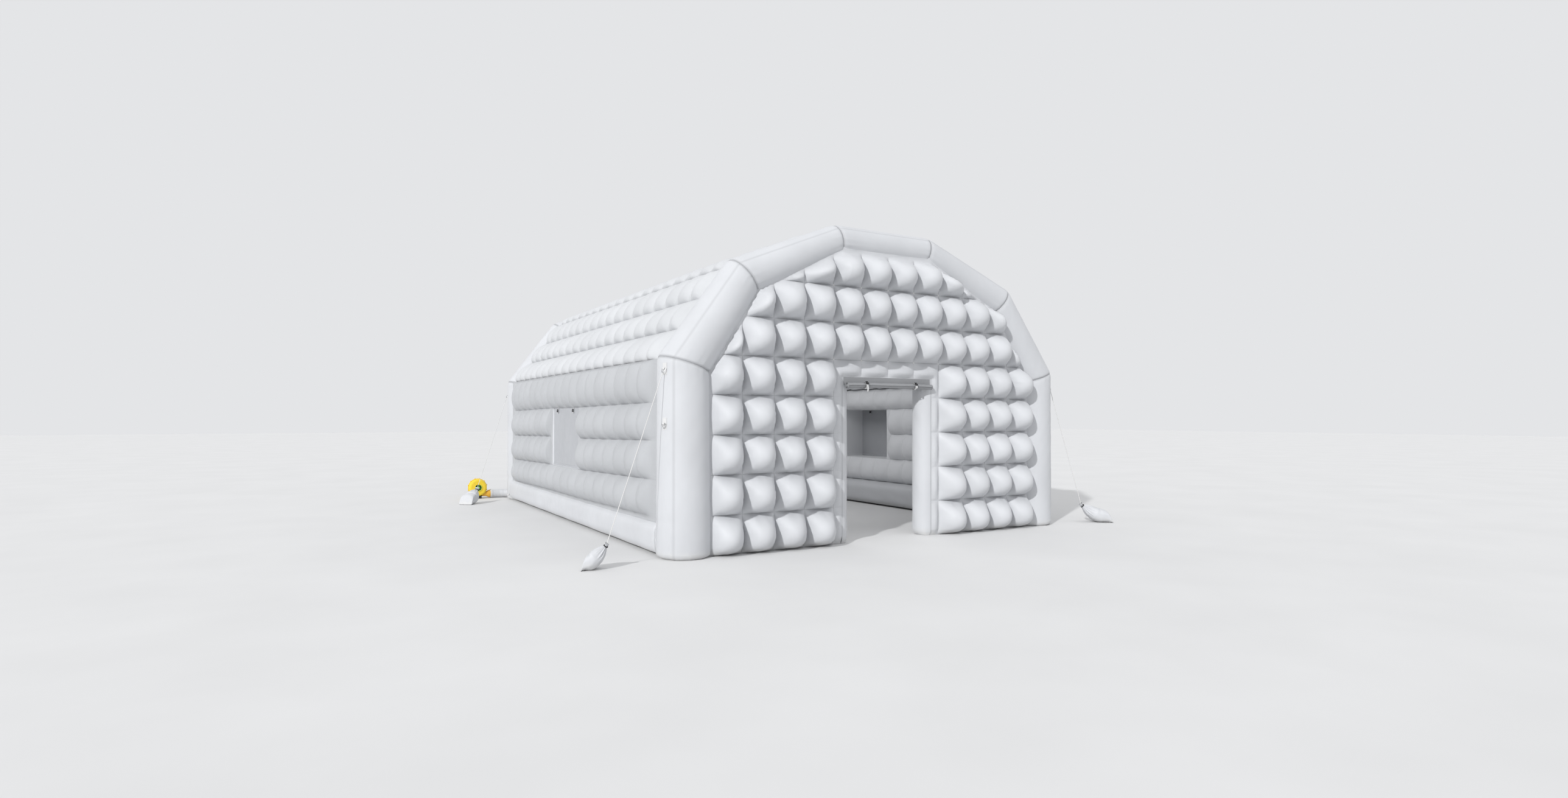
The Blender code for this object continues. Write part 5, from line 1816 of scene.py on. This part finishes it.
@dataclass
class Sandbag:
    """A filled pouch leaning on the ground: a crimped bottom edge, a plump body and a gathered, tied neck.

    The rows of its profile are a share of its length, of its half width and of its half thickness.
    """

    label: str
    tail: tuple
    neck: tuple
    width: float
    thickness: float
    height: float = 0.26
    tail_height: float = 0.008
    rings: int = 70
    sides: int = 96
    profile: tuple = ((0.0, 0.90, 0.06), (0.03, 0.95, 0.12), (0.07, 1.0, 0.55), (0.16, 1.0, 0.86),
                      (0.35, 1.0, 1.0), (0.55, 0.94, 0.94), (0.70, 0.68, 0.72), (0.82, 0.36, 0.42),
                      (0.90, 0.16, 0.17), (0.94, 0.14, 0.15), (1.0, 0.30, 0.26))
    lift_power: float = 1.15
    length_share: float = 0.96
    turned_share: tuple = (0.15, 0.75)
    gathered_share: tuple = (0.55, 0.88)
    gathers: Wrinkles = Wrinkles(0.20, 7.0, 91, closed=True)
    unevenness: Wrinkles = Wrinkles(0.03, 2.0, 92, closed=True)
    squareness: float = 0.75
    crimp_height: float = 0.006
    crimp_reach: float = 0.03
    crimps: int = 22
    clearance: float = 1.02
    smoothed: int = 9
    level_end: int = 6
    fill: float = 0.8
    tie_share: float = 0.92
    tie_gap: float = 0.004
    tie_rise: tuple[float, float] = (-0.006, 0.003)
    tie_steps: int = 69
    tie_radius: float = 0.0032
    tie_turn: float = 4.2 * math.pi

    def build(self) -> None:
        """Builds the pouch and the cord tied round its neck."""
        shape = np.array(self.profile)
        share = np.linspace(0, 1, self.rings)
        width = np.interp(share, shape[:, 0], shape[:, 1]) * self.width / 2
        thick = np.interp(share, shape[:, 0], shape[:, 2]) * self.thickness / 2
        for line in (width, thick):
            line[1:-1] = np.convolve(line, (0.25, 0.5, 0.25), "valid")
        tail, neck = np.array((*self.tail, self.tail_height)), np.array((*self.neck, self.height))
        level = (neck - tail) * (1, 1, 0)
        length = np.linalg.norm(level)
        forward = level / length
        rise = np.maximum(thick * self.clearance, self.height * share ** self.lift_power)
        edge = self.smoothed // 2
        rise[edge:-edge] = np.convolve(rise, np.ones(self.smoothed) / self.smoothed, "valid")
        run = length * np.minimum(1.0, share / self.length_share)
        centres = tail + forward * run[:, None] + UP * (rise - self.tail_height)[:, None]
        direction = np.gradient(centres, axis=0)
        direction[-self.level_end:] = direction[-self.level_end]
        direction[:, 2] *= smooth_step(*self.turned_share, share)
        direction = unit(direction)
        across = np.tile(np.cross(UP, forward), (self.rings, 1))
        upward = np.cross(direction, across)
        turns, seed = ring_angles(self.sides), len(self.label)
        gathers = self.gathers.at(0.0, turns, seed) * smooth_step(*self.gathered_share, share)[:, None]
        folds = 1 + gathers + self.unevenness.at(0.0, turns[None] + share[:, None], seed)
        cosine, sine = (np.sign(part) * np.abs(part) ** self.squareness
                        for part in (np.cos(turns), np.sin(turns)))
        net = (centres[:, None] + across[:, None] * (width[:, None] * cosine * folds)[..., None]
               + upward[:, None] * (thick[:, None] * sine * folds)[..., None])
        crimp = self.crimp_height * np.exp(-share / self.crimp_reach)[:, None]
        net[..., 2] = np.maximum(net[..., 2] + crimp * np.sin(self.crimps * turns), 0.0)
        piece = add_net(f"sandbag_cloth_{self.label}", net, Finish.cloth, around=True, caps=True)
        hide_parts(f"sandbag_{self.label}")
        tie = int(self.tie_share * (self.rings - 1))
        reach = max(width[tie], thick[tie]) + self.tie_gap
        first, lead = self.tie_rise
        band = [centres[tie] + (across[tie] * math.cos(a) + upward[tie] * math.sin(a)) * reach
                + direction[tie] * (first + lead * a / math.pi)
                for a in np.linspace(0, self.tie_turn, self.tie_steps + 1)]
        add_wire(f"sandbag_tie_{self.label}", [tuple(point) for point in band], self.tie_radius, Finish.black)


@dataclass
class GuyRope:
    """A rope from an anchor ring down to the neck of a sandbag, with a little slack."""

    anchor: Anchor
    neck: tuple
    mouth_height: float = 0.26
    radius: float = 0.004
    gap: float = 0.0003
    ring_out: float = 0.017
    ring_drop: float = 0.046
    ring_pull: float = math.radians(21)
    sag: float = 0.012
    steps: int = 23

    def build(self) -> None:
        """Builds the rope."""
        label, radial, up = self.anchor.label, Vector(self.anchor.radial), Vector(UP)
        pivot = Vector(self.anchor.axis) + radial * (self.anchor.seat + self.ring_out)
        low = pivot + (radial * math.sin(self.ring_pull) - up * math.cos(self.ring_pull)) * self.ring_drop
        mouth = Vector((*self.neck, self.mouth_height))
        direction = (mouth - low).normalized()
        start = low + direction * (self.radius + self.gap)
        end = mouth - direction * (self.radius * math.sqrt(1 - direction.z ** 2) + self.gap) / -direction.z
        guide = (start + end) / 2 - up * self.sag
        shares = [index / self.steps for index in range(self.steps + 1)]
        line = [start * (1 - t) ** 2 + guide * 2 * t * (1 - t) + end * t ** 2 for t in shares]
        rope = add_wire(f"guy_rope_line_{label}", [tuple(point) for point in line], self.radius, Finish.rope)
        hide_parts(f"guy_rope_{label}")


@dataclass
class AirTube:
    """The cloth tube along the ground from the blower into the back left post, tied on with a strap."""

    radius: float = 0.0745
    height: float = 0.082
    start: tuple = (-3.2247, 4.181)
    straight: float = 0.06
    guide_x: float = -2.85
    end: tuple = (-2.75, 3.85)
    sides: int = 48
    steps: tuple[int, int] = (11, 49)
    creases: Wrinkles = Wrinkles(0.0026, 40.0, 101)
    crease_slant: float = 0.02
    crease_shares: tuple[float, float] = (0.4, 0.6)
    gathers: Wrinkles = Wrinkles(0.003, 14.0, 103, 0.06, True)
    strap_from_start: float = 0.020
    strap_width: float = 0.030
    strap_radius: float = 0.0775
    strap_draw: float = 0.0035
    strap_reach: float = 0.022
    strap_steps: int = 48

    def build(self) -> None:
        """Builds the tube, its strap and the gathers between them."""
        start, end = np.array((*self.start, self.height)), np.array((*self.end, self.height))
        lead = start + np.array((self.straight, 0.0, 0.0))
        guide = np.array((self.guide_x, start[1], self.height))
        ahead, share = (np.linspace(0, 1, steps + 1)[:, None] for steps in self.steps)
        bend = lead * (1 - share) ** 2 + guide * 2 * share * (1 - share) + end * share ** 2
        line = np.concatenate([start + (lead - start) * ahead[:-1], bend])
        sideways = np.cross(unit(np.gradient(line, axis=0)), UP)
        run = np.concatenate([[0.0], np.cumsum(np.linalg.norm(np.diff(line, axis=0), axis=1))])

        def swell(number: Grid, turn: Grid) -> Grid:
            """Gathers under the strap and soft creases along the bend.

            Args:
                number: The rings of points.
                turn: Their angles round the tube.

            Returns:
                What is added to the radius.
            """
            place = run[number.astype(int)]
            tie = bell(place - self.strap_from_start, self.strap_reach)
            least, more = self.crease_shares
            creases = self.creases.at(0.0, place + self.crease_slant * np.sin(turn))
            creases = creases * (least + more * np.cos(turn) ** 2)
            return creases * (1 - tie) + self.gathers.at(place, turn) - self.strap_draw * tie

        radii = np.full(len(line), self.radius)
        net = sweep(line, sideways, np.tile(UP, (len(line), 1)), radii, radii, self.sides, swell)
        piece = add_net("air_tube_cloth", net, Finish.cloth, around=True, caps=True)
        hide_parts("air_tube")
        band = [(start[0] + self.strap_from_start, start[1] + self.strap_radius * math.cos(a),
                 self.height + self.strap_radius * math.sin(a))
                for a in np.linspace(0, 2 * math.pi, self.strap_steps + 1)]
        Strap(self.strap_width).build("air_tube_tie", band, (1.0, 0.0, 0.0), TENT, "air_tube_strap")
        log.info("air tube: cloth and strap")


@dataclass
class Blower:
    """The electric blower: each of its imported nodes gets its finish."""

    finishes: tuple = (("front_shell", Finish.yellow), ("rear_shell", Finish.yellow), ("grille", Finish.green),
                       ("impeller", Finish.black), ("motor", Finish.steel), ("outlet", Finish.gold),
                       ("foot", Finish.black), ("switch", Finish.black))

    def build(self) -> None:
        """Dresses the housing, grille, fan wheel, motor, outlet, foot and switch."""
        for part, finish in self.finishes:
            dress(f"blower_{part}", finish)
        log.info("blower: %d nodes", len(self.finishes))


@dataclass
class SmallTrim:
    """Tether buttons on the front wall, bars of the window covers, and the low loop at the back left corner."""

    columns: tuple = (-0.825, -0.4125, 0.0, 0.4125, 0.825)
    rows: tuple = (2.225, 2.67, 3.115)
    wall_y: float = -3.868
    button_radius: float = 0.012
    button_sides: int = 16
    button_profile: tuple = ((1.0, 0.0), (1.05, 0.002), (0.85, 0.005), (0.45, 0.0062), (0.30, 0.0045))
    loop_foot: tuple = (-3.00, 3.62, 0.10)
    loop_size: tuple = (-0.020, 0.018, 0.006)
    loop_width: float = 0.025
    loop_steps: int = 12

    def build(self) -> None:
        """Builds the trim."""
        points, faces = [], []
        angles = ring_angles(self.button_sides)
        quads = sheet_faces(len(self.button_profile), self.button_sides, True)
        for x in self.columns:
            for z in self.rows:
                start = len(points)
                for share, out in self.button_profile:
                    radius = share * self.button_radius
                    points += [(x + radius * math.cos(a), self.wall_y - out, z + radius * math.sin(a))
                               for a in angles]
                faces += (quads + start).tolist()
                faces.append(range(len(points) - self.button_sides, len(points)))
        add_mesh("tether_buttons", np.array(points), faces, Finish.webbing)
        for side in Side:
            dress(f"window_hem_{side.label}", Finish.cover_cloth)
        loop = [np.array(self.loop_foot) + np.array(self.loop_size) * (math.sin(t), math.cos(t), math.sin(t))
                for t in np.linspace(0, math.pi, self.loop_steps + 1)]
        Strap(self.loop_width).build("low_loop", loop, (0.0, 0.0, 1.0), TENT)
        log.info("small trim: %d buttons, 2 bars, 1 loop", len(self.columns) * len(self.rows))


# Stage, lights and camera

@dataclass
class Studio:
    """The pale floor, the soft studio light and the camera at the photograph's angle."""

    floor_size: float = 160.0
    floor_drop: float = 0.0005
    camera_place: Point = (-6.3136, -11.9036, 1.5313)
    camera_turn: float = 0.5382
    focal_length: float = 18.583
    sensor_width: float = 36.0
    shift_up: float = 0.0116
    key_direction: Point = (-0.76, -0.45, 0.46)
    key_strength: float = 2.4
    key_softness: float = math.radians(2.0)
    top_direction: Point = (0.2, -0.3, 0.93)
    top_strength: float = 0.3
    top_softness: float = math.radians(50.0)
    fill: float = 0.80
    fill_colour: tuple = (0.97, 0.98, 1.0, 1.0)
    room_power: float = 85.0
    room_size: tuple[float, float] = (3.0, 5.0)
    room_place: Point = (0.0, 0.0, 3.2)

    def build(self) -> None:
        """Builds the floor, the lights and the camera."""
        self.floor()
        self.sun("key_light", self.key_direction, self.key_strength, self.key_softness)
        self.sun("top_light", self.top_direction, self.top_strength, self.top_softness)
        self.fill_lights()
        self.camera()
        log.info("studio: floor, key light, fill and camera")

    def floor(self) -> None:
        """Lays the floor just under the tent."""
        half = self.floor_size / 2
        mesh = bpy.data.meshes.new("studio_floor")
        mesh.from_pydata([(-half, -half, 0.0), (half, -half, 0.0), (half, half, 0.0), (-half, half, 0.0)], [],
                         [(0, 1, 2, 3)])
        mesh.materials.append(Finish.floor)
        floor = link("studio_floor", mesh)
        floor.location.z = -self.floor_drop

    def sun(self, name: str, direction: Point, strength: float, softness: float) -> None:
        """Hangs up one distant light.

        Args:
            name: Its name.
            direction: Where it shines from.
            strength: Its strength.
            softness: How wide it looks, in radians.
        """
        lamp = bpy.data.lights.new(name, "SUN")
        lamp.energy, lamp.angle = strength, softness
        link(name, lamp).rotation_euler = Vector(direction).to_track_quat("Z", "Y").to_euler()

    def fill_lights(self) -> None:
        """Lights the room under the roof, and everything from all round."""
        room = bpy.data.lights.new("room_fill", "AREA")
        room.shape = "RECTANGLE"
        room.size, room.size_y = self.room_size
        room.energy = self.room_power
        glow = link("room_fill", room)
        glow.location = self.room_place
        glow.visible_camera = False
        world = bpy.data.worlds.new("soft_studio")
        world.use_nodes = True
        background = world.node_tree.nodes["Background"].inputs
        background["Color"].default_value = self.fill_colour
        background["Strength"].default_value = self.fill
        bpy.context.scene.world = world
        bpy.context.scene.view_settings.view_transform = "Standard"

    def camera(self) -> None:
        """Sets up the camera."""
        camera = bpy.data.cameras.new("camera")
        camera.lens = self.focal_length
        camera.sensor_width = self.sensor_width
        camera.sensor_fit = "HORIZONTAL"
        camera.shift_y = self.shift_up
        eye = link("camera", camera)
        eye.location = self.camera_place
        eye.rotation_euler = (math.pi / 2, 0.0, -self.camera_turn)
        bpy.context.scene.camera = eye


def main() -> None:
    """Builds the studio and every sub-assembly in order."""
    logging.basicConfig(level=logging.INFO, format="%(name)s: %(message)s")
    Studio().build()
    patch = QuiltPatch()
    patch.blow_up()
    for frame_part in (ArchFrame(), BaseTubes()):
        frame_part.build()
    for panels in (SideWalls(), RoofPanels(), EndWalls()):
        panels.build(patch)
    anchors = Anchors()
    for dressing in (DoorFrame(), DoorCurtain(), *(WindowCover(side) for side in Side), anchors):
        dressing.build()
    bags = (Sandbag("front_left", tail=(-3.875, -3.88), neck=(-3.67, -4.0), width=0.24, thickness=0.165),
            Sandbag("front_right", tail=(3.855, -4.17), neck=(3.49, -3.96), width=0.30, thickness=0.20),
            Sandbag("back_left", tail=(-3.85, 3.09), neck=(-3.60, 3.36), width=0.26, thickness=0.19))
    for bag, anchor in zip(bags, anchors.places):
        GuyRope(anchor, bag.neck, bag.height).build()
        bag.build()
    for extra in (AirTube(), Blower(), SmallTrim()):
        extra.build()


if __name__ == "__main__":
    main()
